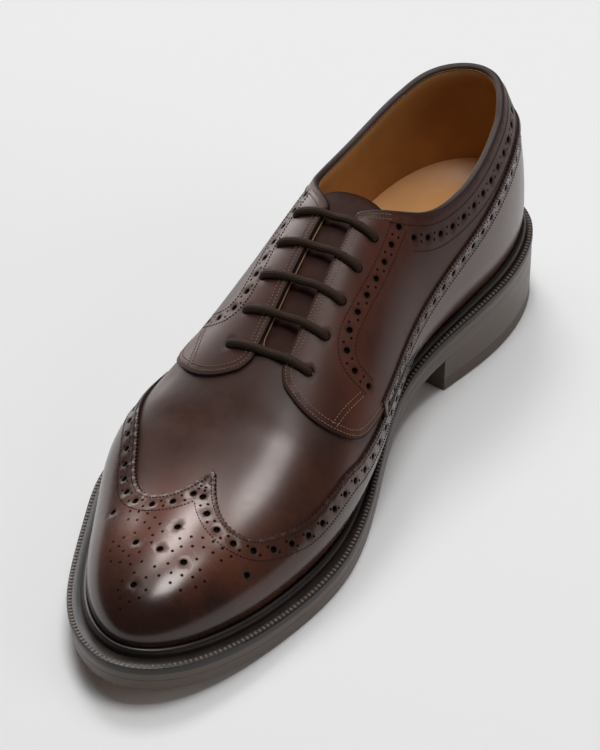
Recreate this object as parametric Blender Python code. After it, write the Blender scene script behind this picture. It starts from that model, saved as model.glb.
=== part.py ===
"""Full brogue derby, one right shoe, standing on its heel and tread.

Shoe coordinates are millimetres: along runs from the back of the heel to the toe,
across is positive towards the medial side, and height is above the floor.
The upper is worked out as a last: vertical sections between a heel pole and a toe
pole, and fans of upright half planes about the two poles. The girth layout is the
flat plan of that last: its long axis is the crest line, and distance from the axis
is girth measured down the section.
"""
import math
from typing import NamedTuple

import bmesh
import bpy
import numpy as np
from mathutils import Vector

MM = 0.001
CLEARANCE = 0.3

# Sole stack, from the floor up
HEEL_BACK = (0.0, 0.0)
TOE_TIP = (308.0, 9.7)
TOP_PIECE = 6.0
OUTSOLE = 5.0
MIDSOLE = 2.8
WELT = 3.2
EDGE = OUTSOLE + MIDSOLE + WELT + 2 * CLEARANCE
SEAT_REAR = 34.2
SEAT_BREAST = 31.0
BREAST_MEDIAL = 97.0
BREAST_LATERAL = 87.0
TREAD_START = 198.0
TREAD_END = 234.0
TOE_SPRING = 8.8
MIDSOLE_STEP = 0.9
OUTSOLE_STEP = 0.4
HEEL_STEP = 0.8
HEEL_TAPER = 1.2

# Storm welt
BEAD_HEIGHT = 3.8
BEAD_EBB = 0.5
BEAD_WIDTH = 3.4
BEAD_SIDES = 3
WELT_UNDERLAP = 3.0
EDGE_ROUND = 0.8

# Upper, tongue and insole
WALL = 1.8
HEEL_POLE = 38.0
TOE_POLE = 256.0
TOE_RISE = 4.4
TOE_POWER = 1.95
OVERLAY_GAP = 0.8
OVERLAY = 1.2
OVERLAY_FOOT = 5.0
SEAM_GAP = 0.9
INSOLE_PROUD = 1.4
HEEL_PAD = 12.0
PAD_START = 60.0
PAD_END = 150.0
TONGUE = 2.0
TONGUE_GAP = 0.8
TONGUE_TOP = 112.0
TONGUE_FOOT = 203.0
TONGUE_TOP_HALF = 24.0
TONGUE_FOOT_HALF = 13.0

# Throat and lacing
THROAT_HALF = 6.5
THROAT_TOP = 129.5
THROAT_FOOT = 182.0
FACING_FOOT = 186.0
EYELETS = 5
EYELET_FIRST = 125.0
EYELET_LAST = 181.5
EYELET_LATERAL = 19.0
EYELET_MEDIAL = 16.5
EYELET_RADIUS = 2.2
LACE_RADIUS = 1.6

# How finely the solids are cut
SOLE_STATIONS = 38
WELT_POINTS = 80
HEEL_RIBS = 12
TOE_RIBS = 18
RIB_STEP = 12.0
UPPER_ROWS = 9
TOE_CROWDING = 1.35
WING_PANEL_ROWS = 10
COUNTER_PANEL_ROWS = 6
QUARTER_PANEL_ROWS = 7
QUARTER_CROWDING = 0.85
TONGUE_ROWS = 9
EYELET_SIDES = 10
LACE_SIDES = 6
PROFILE_CROWN = 40
PROFILE_SIDE = 14


class SoleRow(NamedTuple):
    """Sole edge at one distance from the heel back, and the upper's foot inside it."""

    along: float
    medial: float
    lateral: float
    ledge: float
    overhang_medial: float
    overhang_lateral: float


class SectionRow(NamedTuple):
    """Section of the last at one distance from the heel back."""

    along: float
    crest: float
    crest_across: float
    bulge_rise: float
    power_medial: float
    power_lateral: float


class LineRow(NamedTuple):
    """Height of a cut line above the floor at one distance from the heel back."""

    along: float
    medial: float
    lateral: float


class LayoutRow(NamedTuple):
    """Point of an outline in the girth layout."""

    along: float
    girth: float


SOLE_ROWS = (
    SoleRow(10.0, 20.8, 21.0, 7.3, 2.0, 2.4),
    SoleRow(38.0, 32.8, 34.3, 7.6, 2.4, 3.4),
    SoleRow(75.0, 32.6, 36.6, 8.0, 4.6, 4.8),
    SoleRow(120.0, 25.8, 42.0, 7.6, 10.0, 5.0),
    SoleRow(165.0, 37.5, 52.5, 8.4, 9.6, 3.6),
    SoleRow(210.0, 51.0, 60.5, 9.8, 4.2, 3.0),
    SoleRow(245.0, 49.5, 48.5, 10.2, 2.2, 2.2),
    SoleRow(278.0, 41.0, 30.5, 10.4, 1.4, 1.4),
    SoleRow(300.0, 27.5, 11.0, 10.8, 1.0, 1.0),
)
HEEL_LEDGE = 7.2
HEEL_OVERHANG = 1.9
TOE_LEDGE = 11.0
TOE_OVERHANG = 0.8

SECTION_ROWS = (
    SectionRow(38.0, 117.0, -3.2, 15.0, 2.35, 2.65),
    SectionRow(60.0, 117.0, -3.0, 16.0, 2.45, 2.7),
    SectionRow(80.0, 113.5, -2.9, 18.0, 2.6, 2.75),
    SectionRow(100.0, 104.5, -3.1, 20.0, 2.45, 2.5),
    SectionRow(120.0, 95.8, -3.5, 21.0, 2.35, 2.3),
    SectionRow(133.0, 91.2, -2.7, 20.0, 2.3, 2.15),
    SectionRow(150.0, 84.0, -1.3, 18.5, 2.2, 2.05),
    SectionRow(167.0, 75.2, 0.0, 17.0, 2.15, 2.0),
    SectionRow(185.0, 66.0, 1.5, 15.0, 2.1, 2.0),
    SectionRow(205.0, 56.0, 3.2, 12.5, 2.05, 2.0),
    SectionRow(228.0, 46.5, 5.0, 9.6, 2.0, 2.0),
    SectionRow(245.0, 42.3, 6.2, 7.4, 2.0, 2.0),
    SectionRow(256.0, 40.6, 7.0, 6.2, 2.0, 2.0),
)

TOPLINE_ROWS = (
    LineRow(0.0, 104.0, 104.0),
    LineRow(20.0, 102.0, 102.0),
    LineRow(45.0, 96.0, 96.5),
    LineRow(68.0, 90.0, 91.0),
    LineRow(86.0, 87.5, 89.0),
    LineRow(100.0, 89.0, 90.5),
    LineRow(109.0, 93.0, 93.5),
    LineRow(116.0, 95.4, 95.4),
    LineRow(127.5, 93.0, 93.0),
)

COUNTER_ROWS = (
    LineRow(0.0, 87.0, 87.0),
    LineRow(38.0, 82.0, 82.0),
    LineRow(65.0, 72.5, 72.5),
    LineRow(91.0, 64.0, 64.0),
    LineRow(115.0, 56.5, 56.5),
    LineRow(135.0, 51.5, 51.5),
    LineRow(152.0, 48.0, 48.0),
    LineRow(168.0, 45.5, 45.5),
)

WING_ROWS = (
    LineRow(106.0, 31.5, 31.5),
    LineRow(114.0, 36.0, 36.0),
    LineRow(130.0, 40.5, 40.5),
    LineRow(150.0, 41.0, 41.5),
    LineRow(172.0, 38.0, 40.0),
    LineRow(192.0, 37.0, 40.0),
    LineRow(208.0, 38.0, 41.0),
)

WING_FRONT_ROWS = (
    LayoutRow(222.0, 40.5),
    LayoutRow(234.0, 33.5),
    LayoutRow(242.5, 26.5),
    LayoutRow(245.5, 19.0),
    LayoutRow(243.0, 11.5),
    LayoutRow(236.5, 5.5),
    LayoutRow(228.0, 0.6),
)

TAB_ROWS = (
    LayoutRow(191.5, 7.5),
    LayoutRow(195.0, 17.0),
    LayoutRow(195.5, 30.0),
    LayoutRow(191.0, 41.0),
    LayoutRow(184.0, 46.5),
    LayoutRow(175.0, 49.5),
)


def natural_spline(knots, values):
    """Return a smooth curve through one row of values at each knot."""
    x = np.asarray(knots, dtype=float)
    y = np.asarray(values, dtype=float).reshape(len(x), -1)
    step = np.diff(x)
    system = np.eye(len(x))
    target = np.zeros_like(y)
    for i in range(1, len(x) - 1):
        system[i, i - 1:i + 2] = step[i - 1], 2.0 * (step[i - 1] + step[i]), step[i]
        target[i] = 6.0 * ((y[i + 1] - y[i]) / step[i] - (y[i] - y[i - 1]) / step[i - 1])
    bend = np.linalg.solve(system, target)

    def at(places):
        q = np.clip(np.asarray(places, dtype=float), x[0], x[-1])
        i = np.clip(np.searchsorted(x, q) - 1, 0, len(x) - 2)
        before = (q - x[i])[..., None]
        after = (x[i + 1] - q)[..., None]
        h = step[i][..., None]
        cubic = (bend[i] * after ** 3 + bend[i + 1] * before ** 3) / (6.0 * h)
        line = (y[i] / h - bend[i] * h / 6.0) * after + (y[i + 1] / h - bend[i + 1] * h / 6.0) * before
        return (cubic + line).squeeze(-1) if y.shape[1] == 1 else cubic + line

    return at


def column(rows, name):
    """Return a smooth curve of one named column over the distance from the heel back."""
    return natural_spline([row.along for row in rows], [getattr(row, name) for row in rows])


def ease(value):
    """Return a smooth step from 0 to 1."""
    t = np.clip(value, 0.0, 1.0)
    return t * t * (3.0 - 2.0 * t)


def sole_underside(along):
    """Return the height of the outsole's lower face, which is the same right across the sole."""
    a = np.asarray(along, dtype=float)
    seat_slope = (SEAT_BREAST - SEAT_REAR) / BREAST_LATERAL
    seat = SEAT_REAR - EDGE + seat_slope * a
    waist = seat * (1.0 - ease((a - 0.7 * BREAST_LATERAL) / (TREAD_START - 0.7 * BREAST_LATERAL)))
    spring = TOE_SPRING * (np.clip(a - TREAD_END, 0.0, None) / (TOE_TIP[0] - TREAD_END)) ** 2
    return waist + spring


def welt_top(along):
    """Return the height of the welt's flat upper face."""
    return sole_underside(along) + EDGE


def insole_top(along):
    """Return the height of the insole's upper face, which a pad raises under the heel."""
    pad = HEEL_PAD * (1.0 - ease((np.asarray(along) - PAD_START) / (PAD_END - PAD_START)))
    return welt_top(along) + INSOLE_PROUD + pad


def closed_outline(count):
    """Return the sole edge as a dense closed loop, from the heel back along the lateral side."""
    lateral = [(row.along, -row.lateral) for row in SOLE_ROWS]
    medial = [(row.along, row.medial) for row in reversed(SOLE_ROWS)]
    loop = np.array([HEEL_BACK, *lateral, TOE_TIP, *medial])
    wrap = 4
    points = np.concatenate([loop[-wrap:], loop, loop[:wrap + 1]])
    chords = np.linalg.norm(np.diff(points, axis=0), axis=1)
    knots = np.concatenate([[0.0], np.cumsum(np.sqrt(chords))])
    curve = natural_spline(knots, points)
    return curve(np.linspace(knots[wrap], knots[wrap + len(loop)], count, endpoint=False))


def outward_normals(loop):
    """Return the plan normal at each point of a closed loop that runs from the lateral side."""
    tangent = np.roll(loop, -1, axis=0) - np.roll(loop, 1, axis=0)
    normal = np.stack([-tangent[:, 1], tangent[:, 0]], axis=1) * -1.0
    normal /= np.linalg.norm(normal, axis=1)[:, None]
    centre = loop.mean(axis=0)
    facing = np.sign(((loop - centre) * normal).sum())
    return normal * facing


def edge_table(name_medial, name_lateral, heel_value, toe_value):
    """Return a size that varies round the sole edge, from its columns and its two ends."""
    along = [HEEL_BACK[0]] + [row.along for row in SOLE_ROWS] + [TOE_TIP[0]]
    medial = [heel_value] + [getattr(row, name_medial) for row in SOLE_ROWS] + [toe_value]
    lateral = [heel_value] + [getattr(row, name_lateral) for row in SOLE_ROWS] + [toe_value]
    on_medial = natural_spline(along, medial)
    on_lateral = natural_spline(along, lateral)

    def at(loop):
        return np.where(loop[:, 1] >= 0.0, on_medial(loop[:, 0]), on_lateral(loop[:, 0]))

    return at


class Plan:
    """A closed plan outline that can be read by distance along the shoe or by angle about a pole."""

    def __init__(self, loop):
        self.loop = loop
        toe = int(loop[:, 0].argmax())
        self.lateral = loop[:toe + 1]
        self.medial = np.concatenate([loop[toe:], loop[:1]])[::-1]

    def across(self, along, side):
        """Return the signed distance across at one side."""
        medial = np.interp(along, self.medial[:, 0], self.medial[:, 1])
        lateral = np.interp(along, self.lateral[:, 0], self.lateral[:, 1])
        return np.where(side > 0, medial, lateral)

    def reach(self, pole, angle):
        """Return the radius about a pole, with the angle measured from the toe direction."""
        offset = self.loop - np.asarray(pole)
        bearing = np.arctan2(offset[:, 1], offset[:, 0])
        order = np.argsort(bearing)
        radius = np.linalg.norm(offset, axis=1)[order]
        return np.interp(angle, bearing[order], radius, period=2.0 * math.pi)


class Last:
    """The outer face of the upper, read through its girth layout."""

    def __init__(self):
        edge = closed_outline(900)
        normal = outward_normals(edge)
        ledge = edge_table("ledge", "ledge", HEEL_LEDGE, TOE_LEDGE)(edge)
        overhang = edge_table("overhang_medial", "overhang_lateral", HEEL_OVERHANG, TOE_OVERHANG)(edge)
        self.edge = Plan(edge)
        self.feather = Plan(edge - normal * ledge[:, None])
        self.bulge = Plan(edge - normal * (ledge - overhang)[:, None])
        self.crest = column(SECTION_ROWS, "crest")
        self.crest_across = column(SECTION_ROWS, "crest_across")
        self.rise = column(SECTION_ROWS, "bulge_rise")
        self.power_medial = column(SECTION_ROWS, "power_medial")
        self.power_lateral = column(SECTION_ROWS, "power_lateral")
        self.toe_slope = float(self.crest(TOE_POLE) - self.crest(TOE_POLE - 1.0))

    def ribs(self, along, girth):
        """Return the rib under each layout point: its foot on the axis, its direction and its girth."""
        foot = np.clip(along, HEEL_POLE, TOE_POLE)
        offset = along - foot
        length = np.hypot(offset, girth)
        safe = np.where(length > 1e-9, length, 1.0)
        turn = np.where(length > 1e-9, offset / safe, 0.0)
        side = np.where(length > 1e-9, girth / safe, 1.0)
        return foot, turn, side, length

    def profile(self, foot, turn, side):
        """Return radius, height and girth down each rib, from the crest to the feather line."""
        hand = np.where(side >= 0.0, 1.0, -1.0)
        start = self.crest_across(foot)
        fan = np.abs(turn)
        angle = np.arctan2(side, turn)
        pole_angle = np.where(fan > 0.0, angle, hand * 0.5 * math.pi)
        bulge = self._radius(self.bulge, foot, start, hand, fan, pole_angle)
        feather = self._radius(self.feather, foot, start, hand, fan, pole_angle)
        toe = np.where(turn > 0.0, turn, 0.0) ** 2
        rise = self.rise(foot) * (1.0 - toe) + TOE_RISE * toe
        medial_share = 0.5 + 0.5 * side
        side_power = self.power_medial(foot) * medial_share + self.power_lateral(foot) * (1.0 - medial_share)
        power = side_power * (1.0 - toe) + TOE_POWER * toe
        bulge_height = welt_top(foot + turn * bulge) + rise
        feather_height = welt_top(foot + turn * feather) + CLEARANCE
        crown = np.linspace(0.0, 0.5 * math.pi, PROFILE_CROWN)[None, :]
        exponent = (2.0 / power)[:, None]
        radius = bulge[:, None] * np.sin(crown) ** exponent
        lift = (self.crest(foot) - bulge_height)[:, None]
        height = bulge_height[:, None] + lift * np.clip(np.cos(crown), 0.0, 1.0) ** exponent
        slope = self.toe_slope * np.where(turn > 0.0, turn, 0.0)
        height = height + slope[:, None] * radius * (1.0 - radius / bulge[:, None]) ** 2
        down = np.linspace(0.0, 1.0, PROFILE_SIDE)[None, 1:]
        low_radius = bulge[:, None] - (bulge - feather)[:, None] * down ** 2
        low_height = bulge_height[:, None] - (bulge_height - feather_height)[:, None] * down
        radius = np.concatenate([radius, low_radius], axis=1)
        height = np.concatenate([height, low_height], axis=1)
        steps = np.hypot(np.diff(radius, axis=1), np.diff(height, axis=1))
        arc = np.concatenate([np.zeros((len(radius), 1)), np.cumsum(steps, axis=1)], axis=1)
        return radius, height, arc

    def _radius(self, plan, foot, start, hand, fan, angle):
        """Return how far each rib reaches to one plan outline."""
        straight = hand * (plan.across(foot, hand) - start)
        toe = plan.reach((TOE_POLE, float(self.crest_across(TOE_POLE))), angle)
        heel = plan.reach((HEEL_POLE, float(self.crest_across(HEEL_POLE))), angle)
        fanned = np.where(foot > 0.5 * (HEEL_POLE + TOE_POLE), toe, heel)
        return np.where(fan > 0.0, fanned, straight)

    def full_girth(self, foot, turn, side):
        """Return the girth from the crest to the feather line on each rib."""
        return self.profile(foot, turn, side)[2][:, -1]

    def girth_at_height(self, foot, turn, side, height):
        """Return the girth at which each rib comes down to a height."""
        _, heights, arcs = self.profile(foot, turn, side)
        return np.array([np.interp(-h, -row, arc) for h, row, arc in zip(height, heights, arcs)])

    def surface(self, layout):
        """Return the shoe coordinates of each layout point."""
        foot, turn, side, girth = self.ribs(layout[:, 0], layout[:, 1])
        radius, height, arc = self.profile(foot, turn, side)
        r = np.array([np.interp(g, row, values) for g, row, values in zip(girth, arc, radius)])
        z = np.array([np.interp(g, row, values) for g, row, values in zip(girth, arc, height)])
        return np.stack([foot + turn * r, self.crest_across(foot) + side * r, z], axis=1)

    def offset(self, layout, distance):
        """Return each layout point moved out of the surface by a distance."""
        reach = 0.4
        point = self.surface(layout)
        ahead = self.surface(layout + (reach, 0.0)) - self.surface(layout - (reach, 0.0))
        down = self.surface(layout + (0.0, reach)) - self.surface(layout - (0.0, reach))
        normal = np.cross(ahead, down)
        normal /= np.linalg.norm(normal, axis=1)[:, None]
        return point + normal * np.asarray(distance).reshape(-1, 1)


LAST = Last()
MIDDLE = 0.5 * (LAST.edge.loop.min(axis=0) + LAST.edge.loop.max(axis=0))


def world(points):
    """Return shoe coordinates as metres about the middle of the sole, with the toe towards -Y."""
    p = np.asarray(points, dtype=float)
    return np.stack([p[:, 1] - MIDDLE[1], MIDDLE[0] - p[:, 0], p[:, 2]], axis=1) * MM


def leather(name, colour, roughness):
    """Return a plain material for one piece."""
    material = bpy.data.materials.new(name)
    material.use_nodes = True
    shader = material.node_tree.nodes["Principled BSDF"]
    shader.inputs["Base Color"].default_value = (*colour, 1.0)
    shader.inputs["Roughness"].default_value = roughness
    shader.inputs["Metallic"].default_value = 0.0
    return material


def add_solid(name, points, faces, material):
    """Make one closed object from shoe coordinates and faces, with its faces turned outwards."""
    mesh = bpy.data.meshes.new(name)
    mesh.from_pydata([tuple(p) for p in world(points)], [], faces)
    shape = bmesh.new()
    shape.from_mesh(mesh)
    bmesh.ops.remove_doubles(shape, verts=shape.verts, dist=1e-6)
    bmesh.ops.triangulate(shape, faces=shape.faces)
    bmesh.ops.recalc_face_normals(shape, faces=shape.faces)
    shape.to_mesh(mesh)
    shape.free()
    mesh.materials.append(material)
    mesh.shade_smooth()
    mesh.set_sharp_from_angle(angle=math.radians(35.0))
    solid = bpy.data.objects.new(name, mesh)
    bpy.context.collection.objects.link(solid)
    return solid


def grid_faces(rows, columns, start=0, closed=False):
    """Return the quads of a grid of points, with its columns joined round where it is closed."""
    faces = []
    for i in range(columns if closed else columns - 1):
        following = (i + 1) % columns
        for j in range(rows - 1):
            faces.append((start + i * rows + j, start + i * rows + j + 1,
                          start + following * rows + j + 1, start + following * rows + j))
    return faces


def sole_stations(first, last, count):
    """Return distances along the shoe, closer together towards the rounded ends."""
    turn = np.linspace(0.0, math.pi, count)
    return first + (last - first) * 0.5 * (1.0 - np.cos(turn))


def add_plate(name, loop, along, floor, ceiling, material):
    """Make a plate inside a plan loop, between two heights that depend on the distance along."""
    plan = Plan(loop)
    medial = plan.across(along, np.ones(len(along)))
    lateral = plan.across(along, -np.ones(len(along)))
    layers = [(lateral, floor(along)), (medial, floor(along)),
              (medial, ceiling(along)), (lateral, ceiling(along))]
    points = np.concatenate([np.stack([along, across, height], axis=1) for across, height in layers])
    count = len(along)
    faces = []
    for i in range(count - 1):
        for k in range(4):
            here = k * count + i
            beside = (k + 1) % 4 * count + i
            faces.append((here, beside, beside + 1, here + 1))
    for i in (0, count - 1):
        faces.append(tuple(k * count + i for k in range(4)))
    return add_solid(name, points, faces, material)


def inset_edge(distance):
    """Return the sole edge moved inwards."""
    return LAST.edge.loop - outward_normals(LAST.edge.loop) * np.asarray(distance).reshape(-1, 1)


def plate_stations(loop):
    """Return stations for a full plate, with the ends of the flat tread among them."""
    ends = loop[:, 0].min(), loop[:, 0].max()
    along = np.concatenate([sole_stations(*ends, SOLE_STATIONS), [TREAD_START, TREAD_END]])
    return np.unique(along)


def build_sole(materials):
    """Make the outsole, the midsole and the insole."""
    outsole = inset_edge(OUTSOLE_STEP)
    add_plate("outsole", outsole, plate_stations(outsole), sole_underside,
              lambda a: sole_underside(a) + OUTSOLE, materials["sole"])
    midsole = inset_edge(MIDSOLE_STEP)
    base = OUTSOLE + CLEARANCE
    add_plate("midsole", midsole, plate_stations(midsole), lambda a: sole_underside(a) + base,
              lambda a: sole_underside(a) + base + MIDSOLE, materials["edge"])
    ledge = edge_table("ledge", "ledge", HEEL_LEDGE, TOE_LEDGE)(LAST.edge.loop)
    insole = inset_edge(ledge + WELT_UNDERLAP + 2.0 * CLEARANCE)
    seat = base + MIDSOLE + CLEARANCE
    add_plate("insole", insole, plate_stations(insole), lambda a: sole_underside(a) + seat,
              insole_top, materials["lining"])


def build_welt(materials):
    """Make the storm welt: a ring with a wheeled ledge, a raised bead and an underlap."""
    loop = LAST.edge.loop
    normals = outward_normals(loop)
    ledge = edge_table("ledge", "ledge", HEEL_LEDGE, TOE_LEDGE)(loop)
    overhang = edge_table("overhang_medial", "overhang_lateral", HEEL_OVERHANG, TOE_OVERHANG)(loop)
    lengths = np.linalg.norm(np.diff(np.concatenate([loop, loop[:1]]), axis=0), axis=1)
    travelled = np.concatenate([[0.0], np.cumsum(lengths)])
    wanted = np.linspace(0.0, travelled[-1], WELT_POINTS, endpoint=False)
    picks = np.searchsorted(travelled, wanted)
    rings = []
    for i in picks:
        rise = float(LAST.rise(np.clip(loop[i, 0], HEEL_POLE, TOE_POLE)))
        slope = 2.0 * overhang[i] / rise
        bead = BEAD_HEIGHT * (1.0 - BEAD_EBB * min(slope, 1.0))
        bead_end = ledge[i] - CLEARANCE - slope * bead
        bead_start = max(bead_end - BEAD_WIDTH, EDGE_ROUND + CLEARANCE)
        section = [(0.0, 0.0), (0.0, WELT - EDGE_ROUND), (EDGE_ROUND, WELT), (bead_start, WELT)]
        for k in range(1, BEAD_SIDES):
            turn = math.pi * k / BEAD_SIDES
            middle = 0.5 * (bead_start + bead_end)
            half = 0.5 * (bead_end - bead_start)
            section.append((middle - half * math.cos(turn), WELT + bead * math.sin(turn)))
        inside = ledge[i] + WELT_UNDERLAP
        section += [(bead_end, WELT), (inside, WELT), (inside, 0.0)]
        for inset, height in section:
            plan = loop[i] - normals[i] * inset
            base = float(sole_underside(plan[0])) + EDGE - WELT
            rings.append((plan[0], plan[1], base + height))
    rows = len(rings) // WELT_POINTS
    faces = grid_faces(rows, WELT_POINTS, closed=True)
    for i in range(WELT_POINTS):
        following = (i + 1) % WELT_POINTS
        faces.append((i * rows + rows - 1, i * rows, following * rows, following * rows + rows - 1))
    add_solid("welt", np.array(rings), faces, materials["welt"])


def build_heel(materials):
    """Make the heel stack and the top piece, with a breast that slants towards the medial side."""
    slant = (BREAST_MEDIAL - BREAST_LATERAL) / 2.0
    centre = (BREAST_MEDIAL + BREAST_LATERAL) / 2.0
    for name, floor, ceiling, inset_low, inset_high, material in (
            ("heel_top_piece", 0.0, TOP_PIECE, HEEL_TAPER, HEEL_TAPER, "top_piece"),
            ("heel_stack", TOP_PIECE + CLEARANCE, None, HEEL_TAPER, HEEL_STEP, "edge")):
        rings = []
        for inset, high in ((inset_low, False), (inset_high, True)):
            plan = Plan(inset_edge(inset))
            back = plan.loop[:, 0].min()
            along = sole_stations(back, 2.0 * centre - back, 33)[:17]
            for side in (-1.0, 1.0):
                half = plan.across(along, np.full(len(along), side))
                stretch = (along - back) / (centre - back)
                moved = along + side * slant * stretch ** 3
                height = np.full(len(along), ceiling if high and ceiling else floor)
                if high and ceiling is None:
                    height = sole_underside(moved) - CLEARANCE
                rings.append(np.stack([moved, half, height], axis=1))
        low_lateral, low_medial, high_lateral, high_medial = rings
        points = np.concatenate([low_lateral, low_medial, high_medial, high_lateral])
        count = len(low_lateral)
        faces = []
        for i in range(count - 1):
            for k in range(4):
                here = k * count + i
                beside = (k + 1) % 4 * count + i
                faces.append((here, beside, beside + 1, here + 1))
        for i in (0, count - 1):
            faces.append(tuple(k * count + i for k in range(4)))
        add_solid(name, points, faces, materials[material])


def rib_list():
    """Return the upper's ribs in order round the shoe: foot, turn and side of each."""
    fixed = [HEEL_POLE, 107.0, 114.0, 120.0, 124.0, 127.5, THROAT_TOP, THROAT_FOOT - 6.0,
             THROAT_FOOT - 3.0, THROAT_FOOT - 1.0, THROAT_FOOT, TOE_POLE]
    spread = np.arange(HEEL_POLE + RIB_STEP, TOE_POLE - 0.5 * RIB_STEP, RIB_STEP)
    clear = [a for a in spread if min(abs(a - f) for f in fixed) > 2.5]
    stations = np.array(sorted(fixed + clear))
    ribs = [(a, 0.0, -1.0) for a in stations[::-1]]
    for angle in np.linspace(-0.5 * math.pi, 0.5 * math.pi, HEEL_RIBS + 1)[1:-1]:
        ribs.append((HEEL_POLE, -math.cos(angle), math.sin(angle)))
    ribs += [(a, 0.0, 1.0) for a in stations]
    for angle in np.linspace(0.5 * math.pi, -0.5 * math.pi, TOE_RIBS + 1)[1:-1]:
        ribs.append((TOE_POLE, math.cos(angle), math.sin(angle)))
    return np.array(ribs)


def line_girth(ribs, rows):
    """Return the girth on each rib of a cut line that is given by its height."""
    foot, turn, side = ribs.T
    medial = column(rows, "medial")
    lateral = column(rows, "lateral")
    along = np.where(turn < 0.0, HEEL_POLE * (1.0 + turn), foot)
    height = np.where(side >= 0.0, medial(along), lateral(along))
    return LAST.girth_at_height(foot, turn, side, height)


def opening_girth(ribs):
    """Return the girth of the collar and throat edge on each rib, and 0 where the vamp is closed."""
    foot, turn, _ = ribs.T
    collar = line_girth(ribs, TOPLINE_ROWS)
    slot_end = np.clip((THROAT_FOOT - foot) / 6.0, 0.0, 1.0)
    slot = THROAT_HALF * np.sqrt(1.0 - (1.0 - slot_end) ** 2)
    girth = np.where(foot >= THROAT_TOP, slot, np.maximum(collar, THROAT_HALF))
    return np.where(turn > 0.0, 0.0, girth)


def along_ribs(ribs, girth):
    """Return layout points at a girth on each rib."""
    foot, turn, side = ribs.T
    return np.stack([foot + turn * girth, side * girth], axis=1)


def row_shares(count, crowding):
    """Return shares of the way down a panel, closer together towards its lower edge."""
    return 1.0 - (1.0 - np.linspace(0.0, 1.0, count)[:, None]) ** crowding


def build_upper(materials):
    """Make the hollow upper, open at the collar, the throat and underneath."""
    ribs = rib_list()
    foot = ribs[:, 0]
    top = opening_girth(ribs)
    bottom = LAST.full_girth(*ribs.T)
    rows = UPPER_ROWS + 1
    crowding = 1.0 + (TOE_CROWDING - 1.0) * ease((foot - THROAT_FOOT) / (TOE_POLE - THROAT_FOOT))
    layout = np.concatenate([
        along_ribs(ribs, top + (bottom - top) * share) for share in row_shares(rows, crowding)])
    order = np.arange(len(layout)).reshape(rows, len(ribs)).T.ravel()
    layout = layout[order]
    outer = LAST.offset(layout, np.zeros(len(layout)))
    inner = LAST.offset(layout, np.full(len(layout), -WALL))
    foot_rows = np.arange(rows - 1, len(layout), rows)
    inner[foot_rows, 2] = outer[foot_rows, 2]
    count = len(layout)
    faces = grid_faces(rows, len(ribs), closed=True)
    faces += grid_faces(rows, len(ribs), start=count, closed=True)
    for i in range(len(ribs)):
        following = (i + 1) % len(ribs)
        low, low_next = i * rows + rows - 1, following * rows + rows - 1
        faces.append((low, low_next, low_next + count, low + count))
        on_opening = max(foot[i], foot[following]) <= THROAT_FOOT
        if on_opening:
            faces.append((i * rows, following * rows, following * rows + count, i * rows + count))
    return add_solid("upper", np.concatenate([outer, inner]), faces, materials["upper"])


def add_overlay(name, near, far, rows, material, crowding=1.0,
                inner=OVERLAY_GAP, outer=OVERLAY_GAP + OVERLAY):
    """Make a panel between two forms of the upper, spanned between two layout lines."""
    layout = np.concatenate([near + (far - near) * share for share in row_shares(rows, crowding)])
    columns = len(near)
    order = np.arange(len(layout)).reshape(rows, columns).T.ravel()
    layout = layout[order]
    count = len(layout)
    points = np.concatenate([LAST.offset(layout, np.full(count, depth)) for depth in (inner, outer)])
    faces = grid_faces(rows, columns) + grid_faces(rows, columns, start=count)
    rim = [j for j in range(rows - 1)]
    rim += [i * rows + rows - 1 for i in range(columns - 1)]
    rim += [(columns - 1) * rows + j for j in range(rows - 1, 0, -1)]
    rim += [i * rows for i in range(columns - 1, 0, -1)]
    for here, beside in zip(rim, rim[1:] + rim[:1]):
        faces.append((here, beside, beside + count, here + count))
    return add_solid(name, points, faces, material)


def resample(points, count):
    """Return a layout line as equally spaced points."""
    steps = np.linalg.norm(np.diff(points, axis=0), axis=1)
    travelled = np.concatenate([[0.0], np.cumsum(steps)])
    wanted = np.linspace(0.0, travelled[-1], count)
    return np.stack([np.interp(wanted, travelled, points[:, k]) for k in (0, 1)], axis=1)


def side_ribs(first, last, side, step=RIB_STEP):
    """Return ribs of one side between two distances along the shoe."""
    count = max(2, int(round(abs(last - first) / step)) + 1)
    return np.array([(a, 0.0, side) for a in np.linspace(first, last, count)])


def heel_ribs(first, last):
    """Return ribs of the heel fan between two angles from the heel back."""
    count = max(2, int(round(abs(last - first) / math.pi * HEEL_RIBS)) + 1)
    angles = np.linspace(first, last, count)
    return np.array([(HEEL_POLE, -math.cos(angle), math.sin(angle)) for angle in angles])


def foot_girth(ribs):
    """Return the girth of the panels' lower edge, just above the welt's bead."""
    return LAST.full_girth(*ribs.T) - OVERLAY_FOOT


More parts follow.
